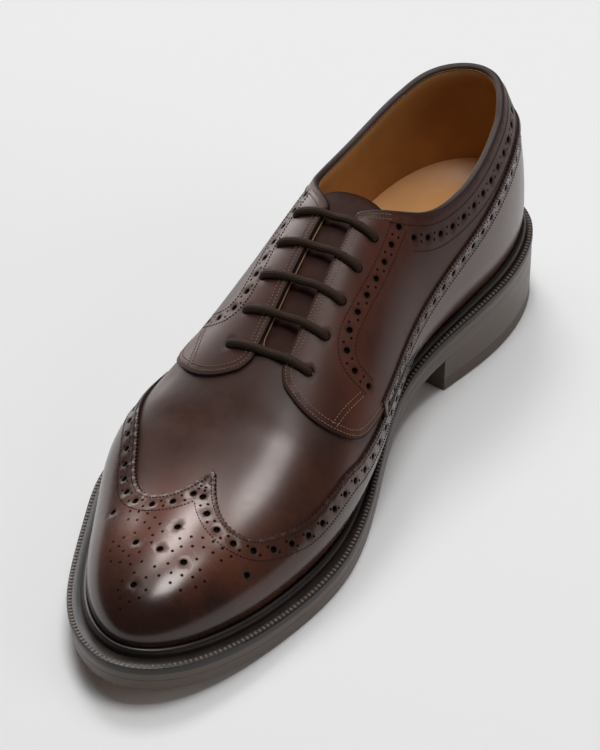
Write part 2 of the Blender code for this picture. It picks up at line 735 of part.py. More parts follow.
def build_wing(materials):
    """Make the wing tip, with a point on the crest and two wings along the sides."""
    near = []
    far = []
    for side in (-1.0, 1.0):
        ribs = side_ribs(WING_ROWS[0].along, WING_ROWS[-1].along, side)
        upper_line = along_ribs(ribs, np.minimum(line_girth(ribs, WING_ROWS), foot_girth(ribs) - 1.0))
        front = np.array([(row.along, side * row.girth) for row in WING_FRONT_ROWS])
        front = resample(np.concatenate([upper_line[-1:], front]), 14)
        lower_line = along_ribs(ribs, foot_girth(ribs))
        straight = side_ribs(WING_ROWS[-1].along, TOE_POLE, side)
        turns = np.linspace(0.0, 0.5 * math.pi, 11)
        fan = np.array([(TOE_POLE, math.sin(turn), side * math.cos(turn)) for turn in turns])
        round_toe = np.concatenate([along_ribs(ribs, foot_girth(ribs)) for ribs in (straight, fan)])
        keep = slice(1, None) if side < 0 else slice(1, -1)
        near_side = np.concatenate([upper_line, front[keep]])
        far_side = np.concatenate([lower_line, resample(round_toe, 14)[keep]])
        near.append(near_side if side < 0 else near_side[::-1])
        far.append(far_side if side < 0 else far_side[::-1])
    near[0][-1, 1] = 0.0
    add_overlay("wing_tip", np.concatenate(near), np.concatenate(far), WING_PANEL_ROWS,
                materials["panel"], TOE_CROWDING)


def build_counter(materials):
    """Make the counter, which runs round the heel and forward to the wings."""
    quarter_turn = 0.5 * math.pi
    wing_end = WING_ROWS[0].along
    front = WING_ROWS[3].along - 2.0
    lateral = np.concatenate([side_ribs(front, wing_end, -1.0),
                              side_ribs(wing_end - SEAM_GAP, HEEL_POLE, -1.0)])
    medial = lateral[::-1] * (1.0, 1.0, -1.0)
    ribs = np.concatenate([lateral, heel_ribs(-quarter_turn, quarter_turn)[1:-1], medial])
    near = line_girth(ribs, COUNTER_ROWS)
    far = foot_girth(ribs)
    on_wing = (ribs[:, 0] >= wing_end) & (ribs[:, 1] == 0.0)
    far = np.where(on_wing, np.minimum(far, line_girth(ribs, WING_ROWS) - SEAM_GAP), far)
    add_overlay("counter", along_ribs(ribs, near), along_ribs(ribs, far), COUNTER_PANEL_ROWS,
                materials["panel"])


def build_quarters(materials):
    """Make the two quarters, from the heel seam to the rounded tabs of the facings."""
    quarter_turn = 0.5 * math.pi
    seam = math.radians(0.6)
    quarters = []
    for name, side in (("quarter_lateral", -1.0), ("quarter_medial", 1.0)):
        back = heel_ribs(side * seam, side * quarter_turn)
        top_ribs = np.concatenate([back, side_ribs(HEEL_POLE, 110.0, side)[1:],
                                   side_ribs(110.0, THROAT_TOP, side, 4.0)[1:],
                                   side_ribs(THROAT_TOP, FACING_FOOT, side)[1:]])
        top_girth = np.maximum(opening_girth(top_ribs), THROAT_HALF)
        top = along_ribs(top_ribs, top_girth)
        low_ribs = np.concatenate([back, side_ribs(HEEL_POLE, COUNTER_ROWS[-1].along, side)[1:]])
        low = along_ribs(low_ribs, line_girth(low_ribs, COUNTER_ROWS) - SEAM_GAP)
        tab = np.array([(row.along, side * row.girth) for row in reversed(TAB_ROWS)])
        heel = len(back)
        lower = np.concatenate([low[heel - 1:], tab])
        far = np.concatenate([low[:heel], resample(lower, len(top) - heel + 1)[1:]])
        quarters.append(add_overlay(name, top, far, QUARTER_PANEL_ROWS, materials["quarter"],
                                    QUARTER_CROWDING))
    return quarters


def eyelet_places():
    """Return the distance along the shoe of each pair of eyelets, from the top."""
    return np.linspace(EYELET_FIRST, EYELET_LAST, EYELETS)


def cut_eyelets(solids):
    """Punch the eyelet holes through the facings and the upper under them."""
    places = np.array([(a, girth) for a in eyelet_places() for girth in (-EYELET_LATERAL, EYELET_MEDIAL)])
    bottoms = world(LAST.offset(places, np.full(len(places), -2.0 * WALL)))
    tops = world(LAST.offset(places, np.full(len(places), OVERLAY_GAP + OVERLAY + WALL)))
    shape = bmesh.new()
    for low, high in zip(bottoms, tops):
        axis = Vector(high - low)
        turn = axis.to_track_quat("Z", "Y").to_matrix().to_4x4()
        turn.translation = Vector((low + high) / 2.0)
        bmesh.ops.create_cone(shape, cap_ends=True, segments=EYELET_SIDES, radius1=EYELET_RADIUS * MM,
                              radius2=EYELET_RADIUS * MM, depth=axis.length, matrix=turn)
    mesh = bpy.data.meshes.new("eyelet_punch")
    shape.to_mesh(mesh)
    shape.free()
    punch = bpy.data.objects.new("eyelet_punch", mesh)
    punch.hide_render = True
    punch.display_type = "WIRE"
    bpy.context.collection.objects.link(punch)
    for solid in solids:
        cut = solid.modifiers.new("eyelets", "BOOLEAN")
        cut.operation = "DIFFERENCE"
        cut.object = punch


def build_tongue(materials):
    """Make the tongue, which lies under the facings and closes the throat."""
    along = np.linspace(TONGUE_TOP, TONGUE_FOOT, 13)
    share = (along - TONGUE_TOP) / (TONGUE_FOOT - TONGUE_TOP)
    half = TONGUE_TOP_HALF + (TONGUE_FOOT_HALF - TONGUE_TOP_HALF) * share
    upper_face = -WALL - TONGUE_GAP
    add_overlay("tongue", np.stack([along, -half], axis=1), np.stack([along, half], axis=1), TONGUE_ROWS,
                materials["tongue"], inner=upper_face - TONGUE, outer=upper_face)


def build_lace(materials):
    """Make the five bars of the lace, each turned down into its two eyelets."""
    over = OVERLAY_GAP + OVERLAY + CLEARANCE + LACE_RADIUS + 0.3
    shares = [-1.0, -1.0, -0.88, *np.linspace(-0.7, 0.7, 5), 0.88, 1.0, 1.0]
    girths = [share * (EYELET_MEDIAL if share > 0.0 else EYELET_LATERAL) for share in shares]
    lifts = [-0.5, 0.6 * over, 0.95 * over, *[over] * 5, 0.95 * over, 0.6 * over, -0.5]
    sides = LACE_SIDES
    for number, along in enumerate(eyelet_places(), start=1):
        layout = np.array([(along, girth) for girth in girths])
        path = LAST.offset(layout, np.array(lifts))
        tangent = np.gradient(path, axis=0)
        tangent /= np.linalg.norm(tangent, axis=1)[:, None]
        beside = np.cross(tangent, np.array([1.0, 0.0, 0.0]))
        beside /= np.linalg.norm(beside, axis=1)[:, None]
        third = np.cross(tangent, beside)
        points = []
        for centre, one, two in zip(path, beside, third):
            for k in range(sides):
                turn = 2.0 * math.pi * k / sides
                points.append(centre + LACE_RADIUS * (one * math.cos(turn) + two * math.sin(turn)))
        faces = []
        for i in range(len(path) - 1):
            for k in range(sides):
                following = (k + 1) % sides
                here, beside = i * sides, (i + 1) * sides
                faces.append((here + k, here + following, beside + following, beside + k))
        faces.append(tuple(range(sides)))
        faces.append(tuple((len(path) - 1) * sides + k for k in range(sides)))
        add_solid(f"lace_bar_{number}", np.array(points), faces, materials["lace"])


def main():
    """Clear the scene and build every piece of the shoe."""
    for old in list(bpy.data.objects):
        bpy.data.objects.remove(old, do_unlink=True)
    materials = {
        "sole": leather("sole leather", (0.46, 0.29, 0.22), 0.55),
        "edge": leather("sole edge", (0.045, 0.028, 0.022), 0.45),
        "welt": leather("welt", (0.035, 0.02, 0.016), 0.4),
        "top_piece": leather("heel top piece", (0.03, 0.022, 0.02), 0.6),
        "upper": leather("vamp leather", (0.055, 0.02, 0.015), 0.28),
        "panel": leather("panel leather", (0.065, 0.024, 0.017), 0.26),
        "quarter": leather("quarter leather", (0.06, 0.022, 0.016), 0.27),
        "tongue": leather("tongue leather", (0.05, 0.02, 0.015), 0.4),
        "lining": leather("lining leather", (0.47, 0.26, 0.1), 0.5),
        "lace": leather("lace", (0.035, 0.022, 0.018), 0.8),
    }
    build_sole(materials)
    build_welt(materials)
    build_heel(materials)
    upper = build_upper(materials)
    build_wing(materials)
    build_counter(materials)
    quarters = build_quarters(materials)
    cut_eyelets([upper, *quarters])
    build_tongue(materials)
    build_lace(materials)


main()
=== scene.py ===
"""Looks of a full brogue derby, one right shoe: dressed pieces, finishes, studio and camera.

Shoe coordinates are millimetres: along runs from the back of the heel to the toe, across is
positive towards the medial side, and height is above the floor. The girth layout is the flat
plan of the last: its long axis is the crest line, and girth is measured down each section.
"""
import logging
import math
from collections.abc import Callable, Sequence
from dataclasses import dataclass, field
from enum import Enum
from typing import Any, NamedTuple

import bmesh
import bpy
import numpy as np
from bpy.types import Material, Mesh, NodeSocket, Object
from mathutils import Matrix, Vector
from mathutils.geometry import delaunay_2d_cdt


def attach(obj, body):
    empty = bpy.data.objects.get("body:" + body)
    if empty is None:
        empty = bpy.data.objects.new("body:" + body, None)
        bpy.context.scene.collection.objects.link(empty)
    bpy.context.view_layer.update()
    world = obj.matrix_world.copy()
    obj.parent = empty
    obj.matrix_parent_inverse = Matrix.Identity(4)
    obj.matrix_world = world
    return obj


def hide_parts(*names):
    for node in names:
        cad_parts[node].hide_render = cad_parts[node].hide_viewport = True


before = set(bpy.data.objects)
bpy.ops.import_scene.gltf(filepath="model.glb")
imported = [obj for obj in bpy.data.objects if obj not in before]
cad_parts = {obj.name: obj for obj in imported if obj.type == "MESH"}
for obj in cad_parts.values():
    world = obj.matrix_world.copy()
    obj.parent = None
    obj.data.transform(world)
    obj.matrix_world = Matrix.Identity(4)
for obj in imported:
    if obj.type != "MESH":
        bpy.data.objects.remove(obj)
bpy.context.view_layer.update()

LOG = logging.getLogger("brogue_derby")

Array = np.ndarray
Reading = Callable[[Array], Array]
Colour = tuple[float, float, float]

MM = 0.001
BODY = "root"
SIDES = (-1.0, 1.0)
MIRROR = (1.0, -1.0)
TINY = 1e-9
QUARTER_TURN = 0.5 * math.pi

# Sole stack, from the floor up
HEEL_BACK = (0.0, 0.0)
TOE_TIP = (308.0, 9.7)
TOP_PIECE = 6.0
OUTSOLE = 5.0
MIDSOLE = 2.8
WELT = 3.2
CLEARANCE = 0.3
EDGE = OUTSOLE + MIDSOLE + WELT + 2 * CLEARANCE
SEAT_REAR = 34.2
SEAT_BREAST = 31.0
BREAST_MEDIAL = 97.0
BREAST_LATERAL = 87.0
WAIST_SHARE = 0.7
TREAD_START = 198.0
TREAD_END = 234.0
TOE_SPRING = 8.8
INSOLE_PROUD = 1.4
HEEL_PAD = 12.0
PAD_START = 60.0
PAD_END = 150.0

# Last
HEEL_POLE = 38.0
TOE_POLE = 256.0
TOE_RISE = 4.4
TOE_POWER = 1.95
HEEL_LEDGE = 7.2
HEEL_OVERHANG = 1.9
TOE_LEDGE = 11.0
TOE_OVERHANG = 0.8
THROAT_HALF = 6.5
THROAT_TOP = 129.5
THROAT_FOOT = 182.0
FACING_FOOT = 185.5

# How finely the last is read
PROFILE_CROWN = 72
PROFILE_SIDE = 24
TABLE_STEP = 1.0
TABLE_START = (-92.0, -128.0)
TABLE_END = (326.0, 128.0)
TABLE_CHUNK = 8000
CDT_CLOSE = 1e-7


class SoleRow(NamedTuple):
    """Sole edge at one distance from the heel back, and the upper's foot inside it."""

    along: float
    medial: float
    lateral: float
    ledge: float
    overhang_medial: float
    overhang_lateral: float


class SectionRow(NamedTuple):
    """Section of the last at one distance from the heel back."""

    along: float
    crest: float
    crest_across: float
    bulge_rise: float
    power_medial: float
    power_lateral: float


class LineRow(NamedTuple):
    """Height of a cut line above the floor at one distance from the heel back."""

    along: float
    medial: float
    lateral: float


SOLE_ROWS = (
    SoleRow(10.0, 20.8, 21.0, 7.3, 2.0, 2.4),
    SoleRow(38.0, 32.8, 34.3, 7.6, 2.4, 3.4),
    SoleRow(75.0, 32.6, 36.6, 8.0, 4.6, 4.8),
    SoleRow(120.0, 25.8, 42.0, 7.6, 10.0, 5.0),
    SoleRow(165.0, 37.5, 52.5, 8.4, 9.6, 3.6),
    SoleRow(210.0, 51.0, 60.5, 9.8, 4.2, 3.0),
    SoleRow(245.0, 49.5, 48.5, 10.2, 2.2, 2.2),
    SoleRow(278.0, 41.0, 30.5, 10.4, 1.4, 1.4),
    SoleRow(300.0, 27.5, 11.0, 10.8, 1.0, 1.0),
)

SECTION_ROWS = (
    SectionRow(38.0, 117.0, -3.2, 15.0, 2.35, 2.65),
    SectionRow(60.0, 117.0, -3.0, 16.0, 2.45, 2.7),
    SectionRow(80.0, 113.5, -2.9, 18.0, 2.6, 2.75),
    SectionRow(100.0, 104.5, -3.1, 20.0, 2.45, 2.5),
    SectionRow(120.0, 95.8, -3.5, 21.0, 2.35, 2.3),
    SectionRow(133.0, 91.2, -2.7, 20.0, 2.3, 2.15),
    SectionRow(150.0, 84.0, -1.3, 18.5, 2.2, 2.05),
    SectionRow(167.0, 75.2, 0.0, 17.0, 2.15, 2.0),
    SectionRow(185.0, 66.0, 1.5, 15.0, 2.1, 2.0),
    SectionRow(205.0, 56.0, 3.2, 12.5, 2.05, 2.0),
    SectionRow(228.0, 46.5, 5.0, 9.6, 2.0, 2.0),
    SectionRow(245.0, 42.3, 6.2, 7.4, 2.0, 2.0),
    SectionRow(256.0, 40.6, 7.0, 6.2, 2.0, 2.0),
)

TOPLINE_ROWS = (
    LineRow(0.0, 104.0, 104.0),
    LineRow(20.0, 102.0, 102.0),
    LineRow(45.0, 96.0, 96.5),
    LineRow(68.0, 90.0, 91.0),
    LineRow(86.0, 87.5, 89.0),
    LineRow(100.0, 89.0, 90.5),
    LineRow(109.0, 93.0, 93.5),
    LineRow(116.0, 95.4, 95.4),
    LineRow(127.5, 93.0, 93.0),
)

COUNTER_ROWS = (
    LineRow(0.0, 87.0, 87.0),
    LineRow(38.0, 82.0, 82.0),
    LineRow(65.0, 72.5, 72.5),
    LineRow(91.0, 64.0, 64.0),
    LineRow(115.0, 56.5, 56.5),
    LineRow(135.0, 51.5, 51.5),
    LineRow(152.0, 48.0, 48.0),
    LineRow(168.0, 45.5, 45.5),
)

WING_ROWS = (
    LineRow(106.0, 31.5, 31.5),
    LineRow(114.0, 36.0, 36.0),
    LineRow(130.0, 40.5, 40.5),
    LineRow(150.0, 41.0, 41.5),
    LineRow(172.0, 38.0, 40.0),
    LineRow(192.0, 37.0, 40.0),
    LineRow(208.0, 38.0, 41.0),
)

# Outlines in the girth layout, as distance along and girth from the crest
WING_FRONT = ((222.0, 40.5), (234.0, 33.5), (242.5, 26.5), (245.5, 19.0), (243.0, 11.5),
              (236.5, 5.5), (228.0, 0.6))
TAB_FRONT = ((190.0, 9.5), (193.5, 17.0), (194.5, 27.0), (191.5, 37.0), (186.5, 45.0),
             (179.5, 50.5), (171.0, 54.0), (160.0, 58.5))
FACING_ROW = ((113.5, 23.0), (122.0, 24.2), (130.0, 25.0), (139.0, 25.0), (147.0, 24.4),
              (155.0, 24.0), (162.0, 24.6), (167.5, 28.0), (169.0, 34.0), (167.5, 41.5))
BAR_ROW = ((190.0, 34.0), (182.0, 36.0), (173.0, 39.5))
MEDALLION_HOLES = ((256.0, 0.0), (267.5, 0.0), (268.0, 10.5), (284.5, 0.0), (255.0, 31.0))
MEDALLION_PINS = ((254.6, 22.5), (254.4, 18.4), (254.4, 14.4), (255.4, 10.4), (257.4, 6.8), (260.2, 3.8),
                  (258.6, 20.6), (258.2, 16.6), (258.6, 12.8), (260.6, 9.4), (263.0, 6.2), (266.2, 4.6),
                  (264.2, 13.6), (267.0, 16.8), (269.4, 20.4), (271.0, 16.2), (273.4, 19.0), (272.8, 12.8),
                  (274.2, 9.2), (271.6, 6.2), (275.0, 2.8), (277.4, 6.2), (277.6, 11.0), (277.8, 15.4),
                  (280.2, 2.6), (284.4, 5.2), (288.0, 4.6), (290.6, 2.0), (294.0, 0.0))


def ease(value: Array) -> Array:
    """Return a smooth step from 0 to 1."""
    t = np.clip(value, 0.0, 1.0)
    return t * t * (3.0 - 2.0 * t)


def unit(vectors: Array) -> Array:
    """Return each row at length 1."""
    return vectors / np.linalg.norm(vectors, axis=-1, keepdims=True)


def join(*parts: Any) -> Array:
    """Return the rows of several parts one after another."""
    return np.concatenate(parts)


def rows_of(*columns: Any) -> Array:
    """Return rows that take one number from each column."""
    return np.stack(columns, axis=1)


def walked(points: Array, power: float = 1.0) -> Array:
    """Return how far each point lies along its row, with every step raised to a power."""
    steps = np.linalg.norm(np.diff(points, axis=0), axis=1)
    return join([0.0], np.cumsum(steps ** power))


def nearest(places: Array, points: Array) -> Array:
    """Return how far each place is from the nearest of some points."""
    return np.array([np.hypot(*(points - place).T).min() for place in places])


def at_height(plan: Array, height: Any) -> Array:
    """Return plan points at a height."""
    return np.column_stack([plan, np.broadcast_to(height, len(plan))])


def level(height: float) -> Reading:
    """Return the reading that is the same everywhere."""
    return lambda places: np.full(len(places), height)


def straight_ribs(along: Array, side: float) -> Array:
    """Return ribs straight down one side, as foot, turn and side of each."""
    return rows_of(along, np.zeros(len(along)), np.full(len(along), side))


def down_ribs(ribs: Array, girth: Array) -> Array:
    """Return the layout points at a girth down each rib."""
    return rows_of(ribs[:, 0] + ribs[:, 1] * girth, ribs[:, 2] * girth)


class Spline:
    """A natural cubic curve through one row of values at each knot."""

    def __init__(self, knots: Sequence[float], values: Any) -> None:
        """Fit the curve.

        Args:
            knots: Rising places of the rows.
            values: One number or one row of numbers for each knot.
        """
        self.x = np.asarray(knots, dtype=float)
        self.y = np.asarray(values, dtype=float).reshape(len(self.x), -1)
        self.step = np.diff(self.x)
        system = np.eye(len(self.x))
        target = np.zeros_like(self.y)
        for i in range(1, len(self.x) - 1):
            before, after = self.step[i - 1], self.step[i]
            system[i, i - 1:i + 2] = before, 2.0 * (before + after), after
            rise = (self.y[i + 1] - self.y[i]) / after
            target[i] = 6.0 * (rise - (self.y[i] - self.y[i - 1]) / before)
        self.bend = np.linalg.solve(system, target)

    def __call__(self, places: Any) -> Array:
        """Return the curve's values at the given places.

        Args:
            places: Where the curve is read.

        Returns:
            One value or row for each place.
        """
        q = np.clip(np.asarray(places, dtype=float), self.x[0], self.x[-1])
        i = np.clip(np.searchsorted(self.x, q) - 1, 0, len(self.x) - 2)
        before = (q - self.x[i])[..., None]
        after = (self.x[i + 1] - q)[..., None]
        h = self.step[i][..., None]
        cubic = (self.bend[i] * after ** 3 + self.bend[i + 1] * before ** 3) / (6.0 * h)
        first = (self.y[i] / h - self.bend[i] * h / 6.0) * after
        second = (self.y[i + 1] / h - self.bend[i + 1] * h / 6.0) * before
        value = cubic + first + second
        return value.squeeze(-1) if self.y.shape[1] == 1 else value


def column(rows: Sequence[Any], name: str) -> Spline:
    """Return a smooth curve of one named column over the distance along."""
    return Spline([row.along for row in rows], [getattr(row, name) for row in rows])


def curve_through(points: Any, count: int) -> Array:
    """Return a smooth open curve through points.

    Args:
        points: Rows of coordinates.
        count: Number of points wanted.

    Returns:
        Points along the curve.
    """
    rows = np.asarray(points, dtype=float)
    knots = walked(rows, 0.5)
    return Spline(knots, rows)(np.linspace(0.0, knots[-1], count))


def sole_underside(along: Any) -> Array:
    """Return the height of the outsole's lower face.

    Args:
        along: Distance from the heel back.

    Returns:
        Heights over the floor.
    """
    a = np.asarray(along, dtype=float)
    seat = SEAT_REAR - EDGE + (SEAT_BREAST - SEAT_REAR) / BREAST_LATERAL * a
    waist_start = WAIST_SHARE * BREAST_LATERAL
    waist = seat * (1.0 - ease((a - waist_start) / (TREAD_START - waist_start)))
    spring = TOE_SPRING * (np.clip(a - TREAD_END, 0.0, None) / (TOE_TIP[0] - TREAD_END)) ** 2
    return waist + spring


def over_sole(height: Any) -> Reading:
    """Return the reading of a height over the outsole's lower face."""
    return lambda plan: sole_underside(plan[:, 0]) + height


def welt_top(along: Any) -> Array:
    """Return the height of the welt's flat upper face."""
    return sole_underside(along) + EDGE


def insole_top(along: Any) -> Array:
    """Return the height of the insole's upper face, which a pad raises under the heel."""
    pad = HEEL_PAD * (1.0 - ease((np.asarray(along) - PAD_START) / (PAD_END - PAD_START)))
    return welt_top(along) + INSOLE_PROUD + pad


class SoleEdge:
    """The plan of the sole's edge, from the heel back along the lateral side."""

    DENSE = 900
    WRAP = 4

    def __init__(self, count: int = DENSE) -> None:
        """Read the edge at a number of points, evenly spread where it isn't the dense loop.

        Args:
            count: Number of points.
        """
        lateral = [(row.along, -row.lateral) for row in SOLE_ROWS]
        medial = [(row.along, row.medial) for row in reversed(SOLE_ROWS)]
        corners = np.array([HEEL_BACK, *lateral, TOE_TIP, *medial])
        points = join(corners[-self.WRAP:], corners, corners[:self.WRAP + 1])
        knots = walked(points, 0.5)
        ends = knots[self.WRAP], knots[self.WRAP + len(corners)]
        places = np.linspace(*ends, self.DENSE, endpoint=False)
        loop = Spline(knots, points)(places)
        if count != self.DENSE:
            loop = self._evenly(loop, count)
        self.loop = loop
        self.normal = self._normals(loop)
        self.ledge = self._table("ledge", "ledge", HEEL_LEDGE, TOE_LEDGE)
        self.overhang = self._table("overhang_medial", "overhang_lateral", HEEL_OVERHANG, TOE_OVERHANG)

    @staticmethod
    def _evenly(loop: Array, count: int) -> Array:
        """Return the loop as evenly spaced points.

        Args:
            loop: Dense closed loop.
            count: Number of points.

        Returns:
            The even loop.
        """
        ring = join(loop, loop[:1])
        places = walked(ring)
        wanted = np.linspace(0.0, places[-1], count, endpoint=False)
        return rows_of(*(np.interp(wanted, places, ring[:, k]) for k in (0, 1)))

    @staticmethod
    def _normals(loop: Array) -> Array:
        """Return the outward plan normal at each point.

        Args:
            loop: Closed loop.

        Returns:
            One normal for each point.
        """
        tangent = np.roll(loop, -1, axis=0) - np.roll(loop, 1, axis=0)
        normal = unit(rows_of(tangent[:, 1], -tangent[:, 0]))
        return normal * np.sign(((loop - loop.mean(axis=0)) * normal).sum())

    def _table(self, medial: str, lateral: str, heel: float, toe: float) -> Array:
        """Return a size that varies round the edge.

        Args:
            medial: Column of the medial side.
            lateral: Column of the lateral side.
            heel: Value at the heel back.
            toe: Value at the toe tip.

        Returns:
            The size at each point of the loop.
        """
        along = [HEEL_BACK[0], *(row.along for row in SOLE_ROWS), TOE_TIP[0]]
        sides = [Spline(along, [heel, *(getattr(row, name) for row in SOLE_ROWS), toe])(self.loop[:, 0])
                 for name in (medial, lateral)]
        return np.where(self.loop[:, 1] >= 0.0, *sides)

    def inset(self, distance: Any) -> Array:
        """Return the loop moved inwards."""
        return self.loop - self.normal * np.broadcast_to(distance, len(self.loop))[:, None]


class Plan:
    """A closed plan outline, read by distance along the shoe or by angle about a pole."""

    def __init__(self, loop: Array) -> None:
        """Sort the loop into its two sides.

        Args:
            loop: Closed loop from the heel back, lateral side first.
        """
        toe = int(loop[:, 0].argmax())
        self.loop = loop
        self.lateral = loop[:toe + 1]
        self.medial = join(loop[toe:], loop[:1])[::-1]

    def across(self, along: Array, side: Array) -> Array:
        """Return the signed distance across at one side.

        Args:
            along: Distance along the shoe.
            side: Sign of the side.

        Returns:
            Positive on the medial side.
        """
        medial = np.interp(along, self.medial[:, 0], self.medial[:, 1])
        lateral = np.interp(along, self.lateral[:, 0], self.lateral[:, 1])
        return np.where(side > 0, medial, lateral)

    def reach(self, pole: tuple[float, float], angle: Array) -> Array:
        """Return the radius about a pole, with the angle measured from the toe direction.

        Args:
            pole: Centre of the fan.
            angle: Angles about it.

        Returns:
            One radius for each angle.
        """
        offset = self.loop - np.asarray(pole)
        bearing = np.arctan2(offset[:, 1], offset[:, 0])
        order = np.argsort(bearing)
        radius = np.linalg.norm(offset, axis=1)[order]
        return np.interp(angle, bearing[order], radius, period=2.0 * math.pi)


class Spot(NamedTuple):
    """Places on the last with their two layout directions and outward normals."""

    point: Array
    ahead: Array
    down: Array
    normal: Array


class Last:
    """The outer face of the upper, read through its girth layout."""

    def __init__(self) -> None:
        """Work out the sections and tabulate the surface."""
        edge = SoleEdge()
        self.middle = 0.5 * (edge.loop.min(axis=0) + edge.loop.max(axis=0))
        self.feather = Plan(edge.inset(edge.ledge))
        self.bulge = Plan(edge.inset(edge.ledge - edge.overhang))
        self.crest = column(SECTION_ROWS, "crest")
        self.crest_across = column(SECTION_ROWS, "crest_across")
        self.rise = column(SECTION_ROWS, "bulge_rise")
        self.power_medial = column(SECTION_ROWS, "power_medial")
        self.power_lateral = column(SECTION_ROWS, "power_lateral")
        self.toe_slope = float(self.crest(TOE_POLE) - self.crest(TOE_POLE - 1.0))
        self.table = self._tabulate()

    def world(self, points: Array) -> Array:
        """Return shoe coordinates as metres about the middle of the sole, toe towards -Y."""
        across = points[:, 1] - self.middle[1]
        return rows_of(across, self.middle[0] - points[:, 0], points[:, 2]) * MM

    @staticmethod
    def ribs(layout: Array) -> tuple[Array, Array, Array, Array]:
        """Return the rib under each layout point: foot on the axis, turn, side and girth.

        Args:
            layout: Layout points.

        Returns:
            Four numbers for each point.
        """
        foot = np.clip(layout[:, 0], HEEL_POLE, TOE_POLE)
        offset = layout[:, 0] - foot
        length = np.hypot(offset, layout[:, 1])
        safe = np.where(length > TINY, length, 1.0)
        turn = np.where(length > TINY, offset / safe, 0.0)
        side = np.where(length > TINY, layout[:, 1] / safe, 1.0)
        return foot, turn, side, length

    def profile(self, foot: Array, turn: Array,
                side: Array) -> tuple[Array, Array, Array]:
        """Work out each rib from the crest to the feather line.

        Args:
            foot: Distance along of the rib's start on the crest.
            turn: Share of the rib's direction that points along the shoe.
            side: Share of the rib's direction that points across the shoe.

        Returns:
            Radius, height and girth down each rib.
        """
        hand = np.where(side >= 0.0, 1.0, -1.0)
        start = self.crest_across(foot)
        bulge = self._radius(self.bulge, foot, start, hand, turn, side)
        feather = self._radius(self.feather, foot, start, hand, turn, side)
        toe = np.where(turn > 0.0, turn, 0.0) ** 2
        rise = self.rise(foot) * (1.0 - toe) + TOE_RISE * toe
        medial_share = 0.5 + 0.5 * side
        power = self.power_medial(foot) * medial_share + self.power_lateral(foot) * (1.0 - medial_share)
        power = power * (1.0 - toe) + TOE_POWER * toe
        bulge_height = welt_top(foot + turn * bulge) + rise
        feather_height = welt_top(foot + turn * feather) + CLEARANCE
        crown = np.linspace(0.0, QUARTER_TURN, PROFILE_CROWN)[None, :]
        exponent = (2.0 / power)[:, None]
        radius = bulge[:, None] * np.sin(crown) ** exponent
        lift = (self.crest(foot) - bulge_height)[:, None]
        height = bulge_height[:, None] + lift * np.clip(np.cos(crown), 0.0, 1.0) ** exponent
        slope = (self.toe_slope * np.where(turn > 0.0, turn, 0.0))[:, None]
        height = height + slope * radius * (1.0 - radius / bulge[:, None]) ** 2
        down = np.linspace(0.0, 1.0, PROFILE_SIDE)[None, 1:]
        low_radius = bulge[:, None] - (bulge - feather)[:, None] * down ** 2
        low_height = bulge_height[:, None] - (bulge_height - feather_height)[:, None] * down
        radius = np.concatenate([radius, low_radius], axis=1)
        height = np.concatenate([height, low_height], axis=1)
        steps = np.hypot(np.diff(radius, axis=1), np.diff(height, axis=1))
        arc = np.concatenate([np.zeros((len(radius), 1)), np.cumsum(steps, axis=1)], axis=1)
        return radius, height, arc

    def girth_at(self, ribs: Array, height: Array) -> Array:
        """Return the girth at which each rib comes down to a height."""
        _, heights, arcs = self.profile(*ribs.T)
        return np.array([np.interp(-h, -row, arc) for h, row, arc in zip(height, heights, arcs)])

    def _radius(self, plan: Plan, foot: Array, start: Array, hand: Array,
                turn: Array, side: Array) -> Array:
        """Return how far each rib reaches to one plan outline.

        Args:
            plan: The outline.
            foot: Distance along of each rib's start.
            start: Distance across of its start.
            hand: Sign of its side.
            turn: Share of its direction along the shoe.
            side: Share of its direction across the shoe.

        Returns:
            One radius for each rib.
        """
        fan = np.abs(turn) > 0.0
        angle = np.where(fan, np.arctan2(side, turn), hand * QUARTER_TURN)
        straight = hand * (plan.across(foot, hand) - start)
        toe = plan.reach((TOE_POLE, float(self.crest_across(TOE_POLE))), angle)
        heel = plan.reach((HEEL_POLE, float(self.crest_across(HEEL_POLE))), angle)
        fanned = np.where(foot > 0.5 * (HEEL_POLE + TOE_POLE), toe, heel)
        return np.where(fan, fanned, straight)

    def _measure(self, layout: Array) -> Array:
        """Return the shoe coordinates of layout points, straight on past the feather line.

        Args:
            layout: Layout points.

        Returns:
            Distances along and across, and heights.
        """
        foot, turn, side, girth = self.ribs(layout)
        radius, height, arc = self.profile(foot, turn, side)
        row = np.arange(len(layout))
        i = np.clip((arc < girth[:, None]).sum(axis=1) - 1, 0, arc.shape[1] - 2)
        share = (girth - arc[row, i]) / np.maximum(arc[row, i + 1] - arc[row, i], TINY)
        r = radius[row, i] + share * (radius[row, i + 1] - radius[row, i])
        z = height[row, i] + share * (height[row, i + 1] - height[row, i])
        return rows_of(foot + turn * r, self.crest_across(foot) + side * r, z)

    def _tabulate(self) -> Array:
        """Return the surface on an even grid of the layout.

        Returns:
            Points by row and column of the grid.
        """
        axes = [np.arange(a, b + 0.5 * TABLE_STEP, TABLE_STEP) for a, b in zip(TABLE_START, TABLE_END)]
        grid = np.stack(np.meshgrid(*axes, indexing="ij"), axis=-1)
        flat = grid.reshape(-1, 2)
        parts = [self._measure(flat[i:i + TABLE_CHUNK]) for i in range(0, len(flat), TABLE_CHUNK)]
        return np.concatenate(parts).reshape(*grid.shape[:2], 3)

